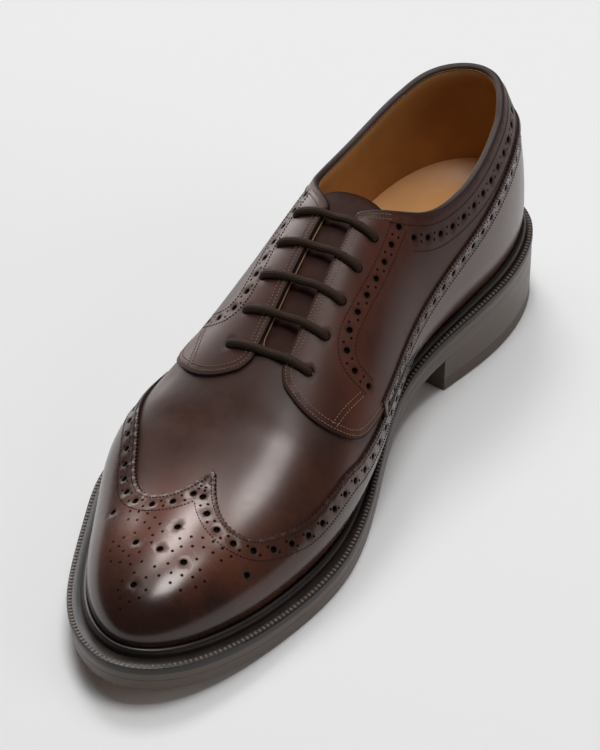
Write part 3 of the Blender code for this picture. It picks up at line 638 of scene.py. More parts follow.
    def read(self, layout: Array) -> Spot:
        """Return the places of layout points on the last, by cubic weights on the table.

        Args:
            layout: Layout points.

        Returns:
            Their points, layout directions and normals.
        """
        place = (layout - TABLE_START) / TABLE_STEP
        cell = np.clip(np.floor(place).astype(int), 1, np.array(self.table.shape[:2]) - 3)
        t = place - cell
        weight = np.stack([-0.5 * t ** 3 + t ** 2 - 0.5 * t, 1.5 * t ** 3 - 2.5 * t ** 2 + 1.0,
                           -1.5 * t ** 3 + 2.0 * t ** 2 + 0.5 * t, 0.5 * t ** 3 - 0.5 * t ** 2])
        slope = np.stack([-1.5 * t ** 2 + 2.0 * t - 0.5, 4.5 * t ** 2 - 5.0 * t,
                          -4.5 * t ** 2 + 4.0 * t + 0.5, 1.5 * t ** 2 - t]) / TABLE_STEP
        point = np.zeros((len(layout), 3))
        ahead = np.zeros_like(point)
        down = np.zeros_like(point)
        for a in range(4):
            for b in range(4):
                value = self.table[cell[:, 0] + a - 1, cell[:, 1] + b - 1]
                point += value * (weight[a, :, 0] * weight[b, :, 1])[:, None]
                ahead += value * (slope[a, :, 0] * weight[b, :, 1])[:, None]
                down += value * (weight[a, :, 0] * slope[b, :, 1])[:, None]
        return Spot(point, ahead, down, unit(np.cross(ahead, down)))

    def place(self, layout: Array, height: Any) -> Array:
        """Return shoe coordinates of layout points at a height over the last."""
        spot = self.read(layout)
        return spot.point + spot.normal * np.broadcast_to(height, len(layout))[:, None]

    @staticmethod
    def flatten(spot: Spot, vectors: Array) -> Array:
        """Return vectors on the surface as steps in the layout.

        Args:
            spot: Places on the last.
            vectors: One vector for each place.

        Returns:
            Steps along and in girth.
        """
        e = (spot.ahead * spot.ahead).sum(axis=1)
        f = (spot.ahead * spot.down).sum(axis=1)
        g = (spot.down * spot.down).sum(axis=1)
        u = (spot.ahead * vectors).sum(axis=1)
        w = (spot.down * vectors).sum(axis=1)
        return rows_of(g * u - f * w, e * w - f * u) / (e * g - f * f)[:, None]

    def shift(self, points: Array, distance: Any) -> Array:
        """Move an open layout line sideways.

        Args:
            points: The line.
            distance: True distance to the left of the way it runs, seen from outside.

        Returns:
            The moved line.
        """
        spot = self.read(points)
        run = np.gradient(points, axis=0)
        tangent = unit(spot.ahead * run[:, :1] + spot.down * run[:, 1:])
        beside = np.cross(spot.normal, tangent)
        return points + self.flatten(spot, beside * np.broadcast_to(distance, len(points))[:, None])

    def circle(self, centre: Array, radius: float, sides: int) -> Array:
        """Return a round hole's rim in the layout.

        Args:
            centre: Layout point of its centre.
            radius: True radius.
            sides: Number of points.

        Returns:
            Layout points of the rim.
        """
        spot = self.read(np.repeat(centre[None, :], sides, axis=0))
        turn = np.linspace(0.0, 2.0 * math.pi, sides, endpoint=False)[:, None]
        one = unit(spot.ahead)
        two = np.cross(spot.normal, one)
        return centre + self.flatten(spot, radius * (one * np.cos(turn) + two * np.sin(turn)))


class Line:
    """A dense line in the girth layout on one side of the shoe, with its inside at larger girth."""

    START = 0.2
    ROUNDING_PITCH = 0.5

    def __init__(self, last: Last, points: Array, side: float) -> None:
        """Measure the line on the last.

        Args:
            last: The last that carries it.
            points: Layout points.
            side: 1 for the medial side, -1 for the lateral side.
        """
        self.last = last
        self.points = points
        self.side = side
        self.places = walked(last.read(points).point)
        self.length = float(self.places[-1])

    def at(self, distance: Any) -> Array:
        """Return the layout points at distances along the line."""
        return np.stack([np.interp(distance, self.places, self.points[:, k]) for k in (0, 1)], axis=-1)

    def spaced(self, pitch: float) -> Array:
        """Return evenly spaced points, as near to a pitch as the length allows."""
        return self.at(np.linspace(0.0, self.length, max(2, round(self.length / pitch) + 1)))

    def inward(self, distance: Any) -> "Line":
        """Return the line moved into its piece."""
        return Line(self.last, self.last.shift(self.points, self.side * np.asarray(distance)), self.side)

    def cut(self, first: float, stop: float) -> "Line":
        """Return the stretch between two distances along the line.

        Args:
            first: Where the stretch starts.
            stop: Where it ends.

        Returns:
            The stretch.
        """
        inside = self.points[(self.places > first) & (self.places < stop)]
        ends = self.at(np.array([first, stop]))
        return Line(self.last, join(ends[:1], inside, ends[1:]), self.side)

    def until(self, place: tuple[float, float]) -> "Line":
        """Return the line up to the point nearest to a place given for the medial side."""
        away = self.points - np.array(place) * (1.0, self.side)
        return self.cut(self.START, float(self.places[int(np.hypot(*away.T).argmin())]))

    def rounded(self, reach: float) -> "Line":
        """Return the line with its corners rounded over a distance.

        Args:
            reach: How far the rounding reaches.

        Returns:
            The rounded line.
        """
        even = self.spaced(self.ROUNDING_PITCH)
        window = max(3, 2 * round(reach) + 1)
        pad = window // 2
        padded = np.pad(even, ((pad, pad), (0, 0)), mode="edge")
        kernel = np.hanning(window + 2)[1:-1]
        kernel /= kernel.sum()
        smooth = rows_of(*(np.convolve(padded[:, k], kernel, mode="valid") for k in (0, 1)))
        smooth[0], smooth[-1] = even[0], even[-1]
        return Line(self.last, smooth, self.side)

    def toothed(self, pitch: float, depth: float) -> Array:
        """Return the gimped edge of the line, with its tips on the line.

        Args:
            pitch: Distance from tip to tip.
            depth: Depth of the teeth.

        Returns:
            Layout points of the edge.
        """
        count = 2 * max(1, round(self.length / pitch))
        points = self.at(np.linspace(0.0, self.length, count + 1))
        valley = np.where(np.arange(count + 1) % 2 == 1, depth, 0.0)
        return self.last.shift(points, self.side * valley)


class CutLine:
    """A cut line of one side that is given by its height above the floor."""

    FAN = 48
    STEP = 1.5

    def __init__(self, last: Last, side: float, girth: Reading,
                 stop: float) -> None:
        """Read the line rib by rib.

        Args:
            last: The last that carries it.
            side: 1 for the medial side, -1 for the lateral side.
            girth: Girth of the line on each rib, given as foot, turn and side.
            stop: Distance along at which the line ends.
        """
        turn = np.linspace(0.0, QUARTER_TURN, self.FAN, endpoint=False)
        heel = rows_of(np.full(self.FAN, HEEL_POLE), -np.cos(turn), side * np.sin(turn))
        along = np.linspace(HEEL_POLE, stop, int((stop - HEEL_POLE) / self.STEP) + 2)
        ribs = join(heel, straight_ribs(along, side))
        self.girths = girth(ribs)
        self.stations = join(HEEL_POLE * (1.0 - np.cos(turn)), along)
        self.line = Line(last, down_ribs(ribs, self.girths), side)

    def below(self, layout: Array) -> Array:
        """Return how far each layout point lies below the line, in girth.

        Args:
            layout: Layout points.

        Returns:
            Positive below the line.
        """
        foot, turn, _, girth = Last.ribs(layout)
        station = np.where(turn < 0.0, HEEL_POLE * (1.0 + turn), foot)
        return girth - np.interp(station, self.stations, self.girths)


class Pattern:
    """The cut lines of the upper, worked out on the last."""

    FOOT = 1.4
    COUNTER_FRONT = 163.5
    QUARTER_LAP = 9.0
    RIB_STEP = 3.0
    HEEL_RIBS = 30
    TOE_RIBS = 44
    FOOT_FAN = 40
    FOOT_STEP = 2.0
    COLLAR_END = 127.0
    CORNER_START = 122.0
    CORNER_ROUND = 5.0
    SLOT_ROUND = 6.0
    SLOT_RIBS = (6.0, 5.0, 4.0, 3.0, 2.0, 1.0, 0.4, 0.0)
    THROAT_START = 130.5
    THROAT_POINTS = 40
    CURVE_POINTS = 120
    WING_POINTS = 60
    WING_FOOT = 0.5

    def __init__(self, last: Last) -> None:
        """Lay out the lines of both sides.

        Args:
            last: The last that carries them.
        """
        self.last = last
        self.topline = {s: CutLine(last, s, self.opening, self.COLLAR_END) for s in SIDES}
        self.opening_edge = {s: self._opening_edge(s) for s in SIDES}
        counter = self._heights(COUNTER_ROWS)
        self.counter = {s: CutLine(last, s, counter, self.COUNTER_FRONT) for s in SIDES}
        self.wing = {s: self._wing(s) for s in SIDES}
        self.tab = {s: self._drawn(TAB_FRONT, s) for s in SIDES}
        self.facing_row = {s: self._drawn(FACING_ROW, s) for s in SIDES}
        self.bar_row = {s: self._drawn(BAR_ROW, s) for s in SIDES}

    def _drawn(self, rows: Any, side: float) -> Line:
        """Return a line drawn through layout points."""
        return Line(self.last, curve_through(np.array(rows) * (1.0, side), self.CURVE_POINTS), side)

    def _heights(self, rows: Sequence[LineRow]) -> Reading:
        """Return the girth on each rib of a line given by its height.

        Args:
            rows: Heights by distance along.

        Returns:
            The girth of the line, for any ribs.
        """
        medial = column(rows, "medial")
        lateral = column(rows, "lateral")

        def girth(ribs: Array) -> Array:
            """Return the girth at which each rib comes down to the line."""
            foot, turn, side = ribs.T
            along = np.where(turn < 0.0, HEEL_POLE * (1.0 + turn), foot)
            height = np.where(side >= 0.0, medial(along), lateral(along))
            return self.last.girth_at(ribs, height)

        return girth

    def opening(self, ribs: Array) -> Array:
        """Return the girth of the collar and throat edge on each rib, 0 where the vamp is closed.

        Args:
            ribs: Foot, turn and side of each rib.

        Returns:
            One girth for each rib.
        """
        foot, turn, _ = ribs.T
        collar = self._heights(TOPLINE_ROWS)(ribs)
        slot_end = np.clip((THROAT_FOOT - foot) / self.SLOT_ROUND, 0.0, 1.0)
        slot = THROAT_HALF * np.sqrt(1.0 - (1.0 - slot_end) ** 2)
        blend = ease((foot - self.CORNER_START) / (THROAT_TOP - self.CORNER_START))
        rim = np.maximum(collar, THROAT_HALF)
        girth = np.where(foot >= THROAT_TOP, slot, rim * (1.0 - blend) + THROAT_HALF * blend)
        return np.where(turn > 0.0, 0.0, girth)

    def full(self, ribs: Array) -> Array:
        """Return the girth from the crest to the feather line on each rib."""
        return self.last.profile(*ribs.T)[2][:, -1]

    def _opening_edge(self, side: float) -> Line:
        """Return the edge of one quarter: collar, rounded corner and throat.

        Args:
            side: Side of the shoe.

        Returns:
            The line of the edge.
        """
        collar = self.topline[side].line.points
        along = np.linspace(self.THROAT_START, FACING_FOOT, self.THROAT_POINTS)
        throat = rows_of(along, np.full(len(along), side * THROAT_HALF))
        return Line(self.last, join(collar, throat), side).rounded(self.CORNER_ROUND)

    def _wing(self, side: float) -> Line:
        """Return the wing tip's upper edge on one side, from its back end to the peak.

        Args:
            side: Side of the shoe.

        Returns:
            The line of the edge.
        """
        along = np.linspace(WING_ROWS[0].along, WING_ROWS[-1].along, self.WING_POINTS)
        ribs = straight_ribs(along, side)
        lowest = self.full(ribs) - self.FOOT - self.WING_FOOT
        back = down_ribs(ribs, np.minimum(self._heights(WING_ROWS)(ribs), lowest))
        front = np.array(WING_FRONT) * (1.0, side)
        bend = curve_through(join(back[-12::6], front), self.CURVE_POINTS)
        start = int(np.argmin(np.linalg.norm(back - bend[0], axis=1)))
        return Line(self.last, join(back[:start], bend), side)

    def ribs_round(self) -> Array:
        """Return the ribs in order round the shoe: foot, turn and side of each.

        Returns:
            One row for each rib.
        """
        even = np.arange(HEEL_POLE, TOE_POLE, self.RIB_STEP)
        throat = THROAT_FOOT - np.array(self.SLOT_RIBS)
        stations = np.unique(join(even, throat, [TOE_POLE]))
        ribs = [(a, 0.0, -1.0) for a in stations[::-1]]
        for turn in np.linspace(-QUARTER_TURN, QUARTER_TURN, self.HEEL_RIBS + 1)[1:-1]:
            ribs.append((HEEL_POLE, -math.cos(turn), math.sin(turn)))
        ribs += [(a, 0.0, 1.0) for a in stations]
        for turn in np.linspace(QUARTER_TURN, -QUARTER_TURN, self.TOE_RIBS + 1)[1:-1]:
            ribs.append((TOE_POLE, math.cos(turn), math.sin(turn)))
        return np.array(ribs)

    def foot_line(self, side: float, first: float, to_toe: bool) -> Array:
        """Return the lower edge of the panels, tucked behind the welt's bead.

        Args:
            side: Side of the shoe.
            first: Distance along at which the line starts.
            to_toe: Whether it goes on to the toe, or back round to the heel.

        Returns:
            Layout points.
        """
        end = TOE_POLE if to_toe else HEEL_POLE
        along = np.linspace(first, end, max(2, int(abs(end - first) / self.FOOT_STEP)))
        turn = np.linspace(0.0, QUARTER_TURN, self.FOOT_FAN)[1:]
        way = 1.0 if to_toe else -1.0
        fan = rows_of(np.full(len(turn), end), way * np.sin(turn), side * np.cos(turn))
        ribs = join(straight_ribs(along, side), fan)
        return down_ribs(ribs, self.full(ribs) - self.FOOT)


class Patina:
    """Where polish has left the leather warmer, and where the toe is darker at its front and medial side,
    over the layout.
    """

    class Glow(NamedTuple):
        """One place that is warmer, or darker where the strength is below 0: where it is, how far it reaches
        and how strong it is.
        """

        along: float
        girth: float
        reach: float
        strength: float

    GLOWS = (Glow(254.0, -10.0, 20.0, 0.95), Glow(262.0, 8.0, 18.0, 0.5), Glow(250.0, 26.0, 16.0, 0.2),
             Glow(183.0, 44.0, 9.0, 0.55), Glow(183.0, -44.0, 9.0, 0.55),
             Glow(298.0, 0.0, 16.0, -0.4), Glow(280.0, 32.0, 18.0, -0.4))
    BASE = 0.2
    ROW_PITCH = 4.0
    ROW_REACH = 9.0
    ROW_STRENGTH = 0.4

    def __init__(self, pattern: Pattern) -> None:
        """Keep the facing rows that the glow follows."""
        self.rows = join(*(pattern.facing_row[s].spaced(self.ROW_PITCH) for s in SIDES))

    def __call__(self, layout: Array) -> Array:
        """Return the warmth of layout points, from 0 to 1.

        Args:
            layout: Layout points.

        Returns:
            One number for each point.
        """
        warmth = np.full(len(layout), self.BASE)
        for glow in self.GLOWS:
            away = np.hypot(layout[:, 0] - glow.along, layout[:, 1] - glow.girth)
            warmth += glow.strength * np.exp(-(away / glow.reach) ** 2)
        warmth += self.ROW_STRENGTH * np.exp(-(nearest(layout, self.rows) / self.ROW_REACH) ** 2)
        return np.clip(warmth, 0.0, 1.0)


class Draft:
    """Points, faces and named numbers of one mesh on its way to becoming a piece."""

    WELD = 2e-4

    def __init__(self) -> None:
        """Start with nothing."""
        self.points: list[Array] = []
        self.faces: list[tuple[int, ...]] = []
        self.numbers: dict[str, list[Array]] = {}
        self.count = 0

    def add(self, points: Array, faces: Any, **numbers: Any) -> None:
        """Add a patch.

        Args:
            points: Shoe coordinates of its points.
            faces: Rows of point numbers within the patch.
            **numbers: One number, or one per point, for each attribute.
        """
        start = self.count
        self.points.append(points)
        self.faces += [tuple(int(i) + start for i in face) for face in faces]
        for name, values in numbers.items():
            known = self.numbers.setdefault(name, [np.zeros(start)] if start else [])
            known.append(np.broadcast_to(values, len(points)))
        self.count += len(points)

    def piece(self, last: Last, name: str, material: Material, sharp: float) -> Object:
        """Make the closed piece.

        Args:
            last: The last, for the change to metres.
            name: Name of the piece.
            material: Its finish.
            sharp: Angle in degrees past which an edge is sharp.

        Returns:
            The new object, at the origin.
        """
        points = np.concatenate(self.points)
        keys = np.round(points / self.WELD).astype(np.int64)
        _, first, inverse = np.unique(keys, axis=0, return_index=True, return_inverse=True)
        inverse = inverse.ravel()
        faces = []
        for face in self.faces:
            ring = [int(inverse[i]) for i in face]
            ring = [v for k, v in enumerate(ring) if v != ring[k - 1]]
            if len(ring) > 2:
                faces.append(ring)
        mesh = bpy.data.meshes.new(name)
        mesh.from_pydata(last.world(points[first]).tolist(), [], faces)
        for key, parts in self.numbers.items():
            values = np.concatenate(parts)[first].astype(np.float32)
            mesh.attributes.new(key, "FLOAT", "POINT").data.foreach_set("value", values)
        shape = bmesh.new()
        shape.from_mesh(mesh)
        bmesh.ops.recalc_face_normals(shape, faces=shape.faces)
        shape.to_mesh(mesh)
        shape.free()
        mesh.shade_smooth()
        mesh.set_sharp_from_angle(angle=math.radians(sharp))
        mesh.materials.append(material)
        solid = bpy.data.objects.new(name, mesh)
        bpy.context.scene.collection.objects.link(solid)
        return solid


def grid_faces(rows: int, columns: int, closed: bool = False) -> list[tuple[int, int, int, int]]:
    """Return the quads of a grid stored column by column, joined round where it is closed.

    Args:
        rows: Points in a column.
        columns: Number of columns.
        closed: Whether the last column joins the first.

    Returns:
        Four point numbers for each quad.
    """
    faces = []
    for i in range(columns if closed else columns - 1):
        following = (i + 1) % columns
        for j in range(rows - 1):
            faces.append((i * rows + j, i * rows + j + 1, following * rows + j + 1, following * rows + j))
    return faces


def inside_loop(points: Array, loop: Array) -> Array:
    """Return which points lie inside a closed loop.

    Args:
        points: Places to test.
        loop: Corners of the loop.

    Returns:
        One answer for each place.
    """
    after = np.roll(loop, -1, axis=0)
    inside = np.zeros(len(points), dtype=bool)
    for a, b in zip(loop, after):
        if a[1] == b[1]:
            continue
        spans = (points[:, 1] < a[1]) != (points[:, 1] < b[1])
        crossing = a[0] + (points[:, 1] - a[1]) * (b[0] - a[0]) / (b[1] - a[1])
        inside ^= spans & (points[:, 0] < crossing)
    return inside


def lattice(loop: Array, step: float) -> Array:
    """Return a staggered lattice of points inside a loop.

    Args:
        loop: Corners of the loop.
        step: Distance between points.

    Returns:
        Points of the lattice.
    """
    low, high = loop.min(axis=0), loop.max(axis=0)
    rise = step * math.sqrt(0.75)
    points = []
    for row, y in enumerate(np.arange(low[1], high[1], rise)):
        x = np.arange(low[0] + 0.5 * step * (row % 2), high[0], step)
        points.append(rows_of(x, np.full(len(x), y)))
    points = np.concatenate(points)
    return points[inside_loop(points, loop)]


class Kind(Enum):
    """What a point of a panel belongs to."""

    EDGE = 0
    TUCKED = 5
    SUPPORT = 1
    HOLE = 2
    HOLE_COLLAR = 3
    FIELD = 4


@dataclass
class Panel:
    """A leather panel on the last, with a cut edge and punched holes."""

    last: Last
    outline: Array
    support: Array
    top: Reading
    low: Reading
    holes: Array = field(default_factory=lambda: np.zeros((0, 2)))
    radii: Array = field(default_factory=lambda: np.zeros(0))
    tucked: Array = field(default_factory=lambda: np.zeros((0, 2)))
    grid: float = 2.4
    margin: float = 1.7
    edge_drop: float = 0.16
    hole_drop: float = 0.16
    hole_sides: int = 12
    hole_collar: float = 0.5
    hole_clear: float = 0.5
    field_clear: float = 0.45
    sharp: float = 50.0

    # How far each kind of point darkens towards the rim colour: EDGE and SUPPORT for the inked cut edge,
    # TUCKED for painted shade on the foot behind the welt's bead, HOLE and HOLE_COLLAR for painted shade
    # inside and around the holes.
    RIM = {Kind.EDGE: 1.0, Kind.TUCKED: 1.0, Kind.SUPPORT: 0.45,
           Kind.HOLE: 1.0, Kind.HOLE_COLLAR: 0.4, Kind.FIELD: 0.0}

    def draft(self, tone: Reading) -> Draft:
        """Cut the panel.

        Args:
            tone: Warmth of the leather over the layout.

        Returns:
            The closed mesh with its tone and rim numbers.
        """
        flat, kinds, faces = self._triangles()
        drop = np.select([kinds == Kind.EDGE.value, kinds == Kind.HOLE.value],
                         [self.edge_drop, self.hole_drop], 0.0)
        rim = np.array([self.RIM[Kind(k)] for k in kinds])
        warmth = tone(flat)
        top = self.last.place(flat, self.top(flat) - drop)
        low = self.last.place(flat, self.low(flat))
        count = len(flat)
        edges = join(faces[:, [0, 1]], faces[:, [1, 2]], faces[:, [2, 0]])
        known = {(int(a), int(b)) for a, b in edges}
        walls = [(b, a, a + count, b + count) for a, b in known if (b, a) not in known]
        draft = Draft()
        draft.add(join(top, low), [*faces, *(faces[:, ::-1] + count), *walls],
                  tone=np.tile(warmth, 2), rim=join(rim, np.ones(count)))
        return draft

    def _triangles(self) -> tuple[Array, Array, Array]:
        """Return the panel's layout points, their kinds and its triangles.

        Returns:
            One row for each point, kind and triangle.
        """
        parts = [self.outline, self.tucked, self.support]
        kinds = [Kind.EDGE.value, Kind.TUCKED.value, Kind.SUPPORT.value]
        owner = [np.full(len(part), -1) for part in parts]
        count = len(self.outline) + len(self.tucked)
        edges = [(i, (i + 1) % count) for i in range(count)]
        count += len(self.support)
        for number, (centre, radius) in enumerate(zip(self.holes, self.radii)):
            rim = self.last.circle(centre, radius, self.hole_sides)
            collar = self.last.circle(centre, radius + self.hole_collar, self.hole_sides)
            parts += [rim, collar]
            kinds += [Kind.HOLE.value, Kind.HOLE_COLLAR.value]
            owner += [np.full(len(rim), number), np.full(len(collar), -1)]
            edges += [(count + i, count + (i + 1) % len(rim)) for i in range(len(rim))]
            count += 2 * len(rim)
        inner = lattice(join(self.outline, self.tucked), self.grid)
        clear = nearest(inner, join(*parts)) > self.field_clear * self.margin
        for centre, radius in zip(self.holes, self.radii):
            clear &= np.hypot(*(inner - centre).T) > radius + self.hole_collar + self.hole_clear
        inner = inner[clear]
        parts.append(inner)
        kinds.append(Kind.FIELD.value)
        owner.append(np.full(len(inner), -1))
        flat = np.concatenate(parts)
        kind = np.repeat(kinds, [len(part) for part in parts])
        owned = np.concatenate(owner)
        verts, _, faces, origin, _, _ = delaunay_2d_cdt([Vector(p) for p in flat], edges, [], 1, CDT_CLOSE)
        source = np.array([rows[0] if rows else 0 for rows in origin])
        placed = np.array([v[:] for v in verts])
        triangles = np.array(faces)
        holder = owned[source][triangles]
        in_hole = (holder[:, 0] >= 0) & (holder[:, 0] == holder[:, 1]) & (holder[:, 1] == holder[:, 2])
        triangles = triangles[~in_hole]
        a, b, c = (placed[triangles[:, k]] for k in range(3))
        turn = (b[:, 0] - a[:, 0]) * (c[:, 1] - a[:, 1]) - (b[:, 1] - a[:, 1]) * (c[:, 0] - a[:, 0])
        triangles[turn < 0.0] = triangles[turn < 0.0][:, ::-1]
        used, inverse = np.unique(triangles, return_inverse=True)
        return placed[used], kind[source][used], inverse.reshape(triangles.shape)


class Value:
    """A socket of a finish's node tree that takes part in shader maths."""

    def __init__(self, paint: "Paint", socket: NodeSocket) -> None:
        """Wrap an output socket."""
        self.paint = paint
        self.socket = socket

    def _math(self, operation: str, one: Any, two: Any) -> "Value":
        """Return the result of a Math node."""
        return self.paint.value("ShaderNodeMath", {"operation": operation}, {0: one, 1: two})

    def __add__(self, other: Any) -> "Value":
        """Return the sum."""
        return self._math("ADD", self, other)

    __radd__ = __add__

    def __sub__(self, other: Any) -> "Value":
        """Return the difference."""
        return self._math("SUBTRACT", self, other)

    def __rsub__(self, other: Any) -> "Value":
        """Return the difference from a number."""
        return self._math("SUBTRACT", other, self)

    def __mul__(self, other: Any) -> "Value":
        """Return the product."""
        return self._math("MULTIPLY", self, other)

    __rmul__ = __mul__

    def clamped(self) -> "Value":
        """Return the value held between 0 and 1."""
        return self.paint.value("ShaderNodeClamp", {}, {0: self})

    def wave(self) -> "Value":
        """Return the sine of the value."""
        return self._math("SINE", self, 0.0)


class Nodes:
    """A node tree that is built node by node."""

    def __init__(self, tree: Any) -> None:
        """Keep the tree."""
        self.tree = tree

    def node(self, kind: str, settings: dict[str, Any], inputs: dict[Any, Any],
             output: Any = 0) -> NodeSocket:
        """Add a node.

        Args:
            kind: Type of the node.
            settings: Its settings, which are set first.
            inputs: Values or links by socket name or number.
            output: Name or number of the output that is wanted.

        Returns:
            That output socket.
        """
        node = self.tree.nodes.new(kind)
        for name, setting in settings.items():
            setattr(node, name, setting)
        for key, value in inputs.items():
            self.feed(node.inputs[key], value)
        return node.outputs[output]

    def feed(self, socket: NodeSocket, value: Any) -> None:
        """Link an input socket or set its value.

        Args:
            socket: The input socket.
            value: A shader value, an output socket or a plain value.
        """
        source = value.socket if isinstance(value, Value) else value
        if isinstance(source, NodeSocket):
            self.tree.links.new(source, socket)
        elif socket.type == "RGBA" and len(value) == 3:
            socket.default_value = (*value, 1.0)
        else:
            socket.default_value = value


class Paint(Nodes):
    """The node tree of one finish."""

    def __init__(self, name: str) -> None:
        """Start a material with a Principled shader.

        Args:
            name: Name of the finish.
        """
        self.material = bpy.data.materials.new(name)
        self.material.use_nodes = True
        super().__init__(self.material.node_tree)
        self.shader = self.tree.nodes["Principled BSDF"]

    def value(self, kind: str, settings: dict[str, Any], inputs: dict[Any, Any], output: Any = 0) -> Value:
        """Add a node whose output takes part in shader maths."""
        return Value(self, self.node(kind, settings, inputs, output))

    def place(self, scale: Sequence[float] = (1.0, 1.0, 1.0)) -> NodeSocket:
        """Return the object's own coordinates in millimetres, stretched by a scale.

        Args:
            scale: Stretch of each axis.

        Returns:
            The vector socket.
        """
        source = self.node("ShaderNodeTexCoord", {}, {}, "Object")
        size = tuple(s / MM for s in scale)
        return self.node("ShaderNodeVectorMath", {"operation": "MULTIPLY"}, {0: source, 1: size})

    def number(self, name: str) -> Value:
        """Return a number that the mesh carries."""
        return self.value("ShaderNodeAttribute", {"attribute_name": name}, {}, "Fac")

    def noise(self, place: NodeSocket, scale: float, detail: float = 2.0) -> Value:
        """Return cloudy noise with a number of clouds for each millimetre."""
        return self.value("ShaderNodeTexNoise", {}, {"Vector": place, "Scale": scale, "Detail": detail})

    def cells(self, place: NodeSocket, scale: float) -> Value:
        """Return the distance to the nearest of many pebbles."""
        return self.value("ShaderNodeTexVoronoi", {"feature": "SMOOTH_F1"}, {"Vector": place, "Scale": scale})

    def mix(self, share: Any, one: Any, two: Any) -> NodeSocket:
        """Return a blend of two colours."""
        return self.node("ShaderNodeMix", {"data_type": "RGBA"}, {0: share, 6: one, 7: two}, 2)

    def bump(self, height: Value, depth: float) -> NodeSocket:
        """Return a normal raised by a height, with its full depth in millimetres."""
        return self.node("ShaderNodeBump", {}, {"Height": height, "Distance": depth * MM})

    def finish(self, **sockets: Any) -> Material:
        """Feed the shader.

        Args:
            **sockets: Values by socket name, with underscores for spaces.

        Returns:
            The finished material.
        """
        for name, value in sockets.items():
            self.feed(self.shader.inputs[name.replace("_", " ")], value)
        return self.material


@dataclass(frozen=True)
class BurnishedCalf:
    """Polished calf: dark at the seams and where shade is painted, warm where it was rubbed back, with a fine
    grain.
    """

    name: str
    dark: Colour = (0.024, 0.0086, 0.006)
    warm: Colour = (0.13, 0.041, 0.023)
    # Colour of the inked edges and of the painted shade on tucked feet, in holes and before the tabs.
    rim: Colour = (0.012, 0.005, 0.0036)
    roughness: float = 0.30
    coat: float = 0.35
    gloss: float = 0.5
    glaze: float = 0.24
    grain: float = 0.004

    def material(self) -> Material:
        """Paint the finish.

        Returns:
            The new material.
        """
        paint = Paint(self.name)
        place = paint.place()
        mottle = paint.noise(place, 0.07, 3.0)
        cloud = paint.noise(place, 0.4, 3.0)
        rim = paint.number("rim")
        warmth = (paint.number("tone") + (mottle - 0.5) * 0.5 + (cloud - 0.5) * 0.18).clamped()
        leather = paint.mix(warmth, self.dark, self.warm)
        # The rim number darkens the inked edges and the places of painted shade.
        colour = paint.mix((rim * 0.75).clamped(), leather, self.rim)
        grain = paint.cells(place, 2.6) * 0.6 + paint.noise(place, 6.0, 2.0) * 0.4
        pull = paint.noise(paint.place((0.25, 0.9, 0.6)), 0.7, 2.0)
        roughness = self.roughness + (cloud - 0.5) * 0.12 + rim * 0.35
        return paint.finish(Base_Color=colour, Roughness=roughness,
                            Normal=paint.bump(grain + pull * 0.8, self.grain),
                            Coat_Weight=(1.0 - rim).clamped() * self.coat, Coat_Roughness=self.glaze,
                            Specular_IOR_Level=self.gloss, Specular_Tint=(1.0, 0.9, 0.87))


@dataclass(frozen=True)
class LiningCalf:
    """Undyed lining leather, matt, with pores and soft stains."""

    name: str
    pale: Colour = (0.5, 0.255, 0.082)
    deep: Colour = (0.36, 0.165, 0.044)
    cut: Colour = (0.66, 0.42, 0.2)
    roughness: float = 0.55

    def material(self) -> Material:
        """Paint the finish.

        Returns:
            The new material.
        """
        paint = Paint(self.name)
        place = paint.place()
        stain = paint.noise(place, 0.05, 3.0)
        pores = paint.cells(place, 1.8)
        hide = paint.mix((stain * 1.3 - 0.15 - pores * 0.1).clamped(), self.pale, self.deep)
        colour = paint.mix(paint.number("rim").clamped(), hide, self.cut)
        height = pores * 0.7 + paint.noise(place, 4.0, 2.0) * 0.3
        return paint.finish(Base_Color=colour, Roughness=self.roughness + (stain - 0.5) * 0.2,
                            Normal=paint.bump(height, 0.03), Specular_IOR_Level=0.4)


@dataclass(frozen=True)
class InkedEdge:
    """Stacked leather with an inked and waxed edge, and bare leather underneath."""

    name: str
    ink: Colour = (0.083, 0.058, 0.046)
    worn: Colour = (0.13, 0.092, 0.073)
    bare: Colour = (0.50, 0.30, 0.215)
    roughness: float = 0.42
    layers: float = 1.1

    def material(self) -> Material:
        """Paint the finish.

        Returns:
            The new material.
        """
        paint = Paint(self.name)
        place = paint.place()
        fibre = paint.noise(paint.place((0.25, 0.25, 2.2)), self.layers, 3.0)
        blotch = paint.noise(place, 0.12, 3.0)
        rub = paint.noise(place, 0.9, 2.0)
        bare = paint.number("bare")
        edge = paint.mix((fibre * 0.7 + blotch * 0.6 - 0.35).clamped(), self.ink, self.worn)
        hide = paint.mix((rub * 0.6 - 0.1).clamped(), self.bare, tuple(0.72 * c for c in self.bare))
        colour = paint.mix(bare.clamped(), edge, hide)
        height = fibre * 0.8 + rub * 0.2
        roughness = self.roughness + (blotch - 0.5) * 0.2 + bare * 0.15
        return paint.finish(Base_Color=colour, Roughness=roughness, Normal=paint.bump(height, 0.05),
                            Coat_Weight=0.08, Coat_Roughness=0.3)


@dataclass(frozen=True)
class TopRubber:
    """The wearing layer of the heel: hard dark compound with a dull, speckled face."""

    name: str
    base: Colour = (0.083, 0.058, 0.046)
    dust: Colour = (0.12, 0.086, 0.069)

    def material(self) -> Material:
        """Paint the finish.

        Returns:
            The new material.
        """
        paint = Paint(self.name)
        place = paint.place()
        speckle = paint.noise(place, 2.4, 3.0)
        smear = paint.noise(place, 0.1, 2.0)
        colour = paint.mix((speckle * 0.5 + smear * 0.7 - 0.35).clamped(), self.base, self.dust)
        return paint.finish(Base_Color=colour, Roughness=0.55 + (smear - 0.5) * 0.2,
                            Normal=paint.bump(speckle, 0.05))


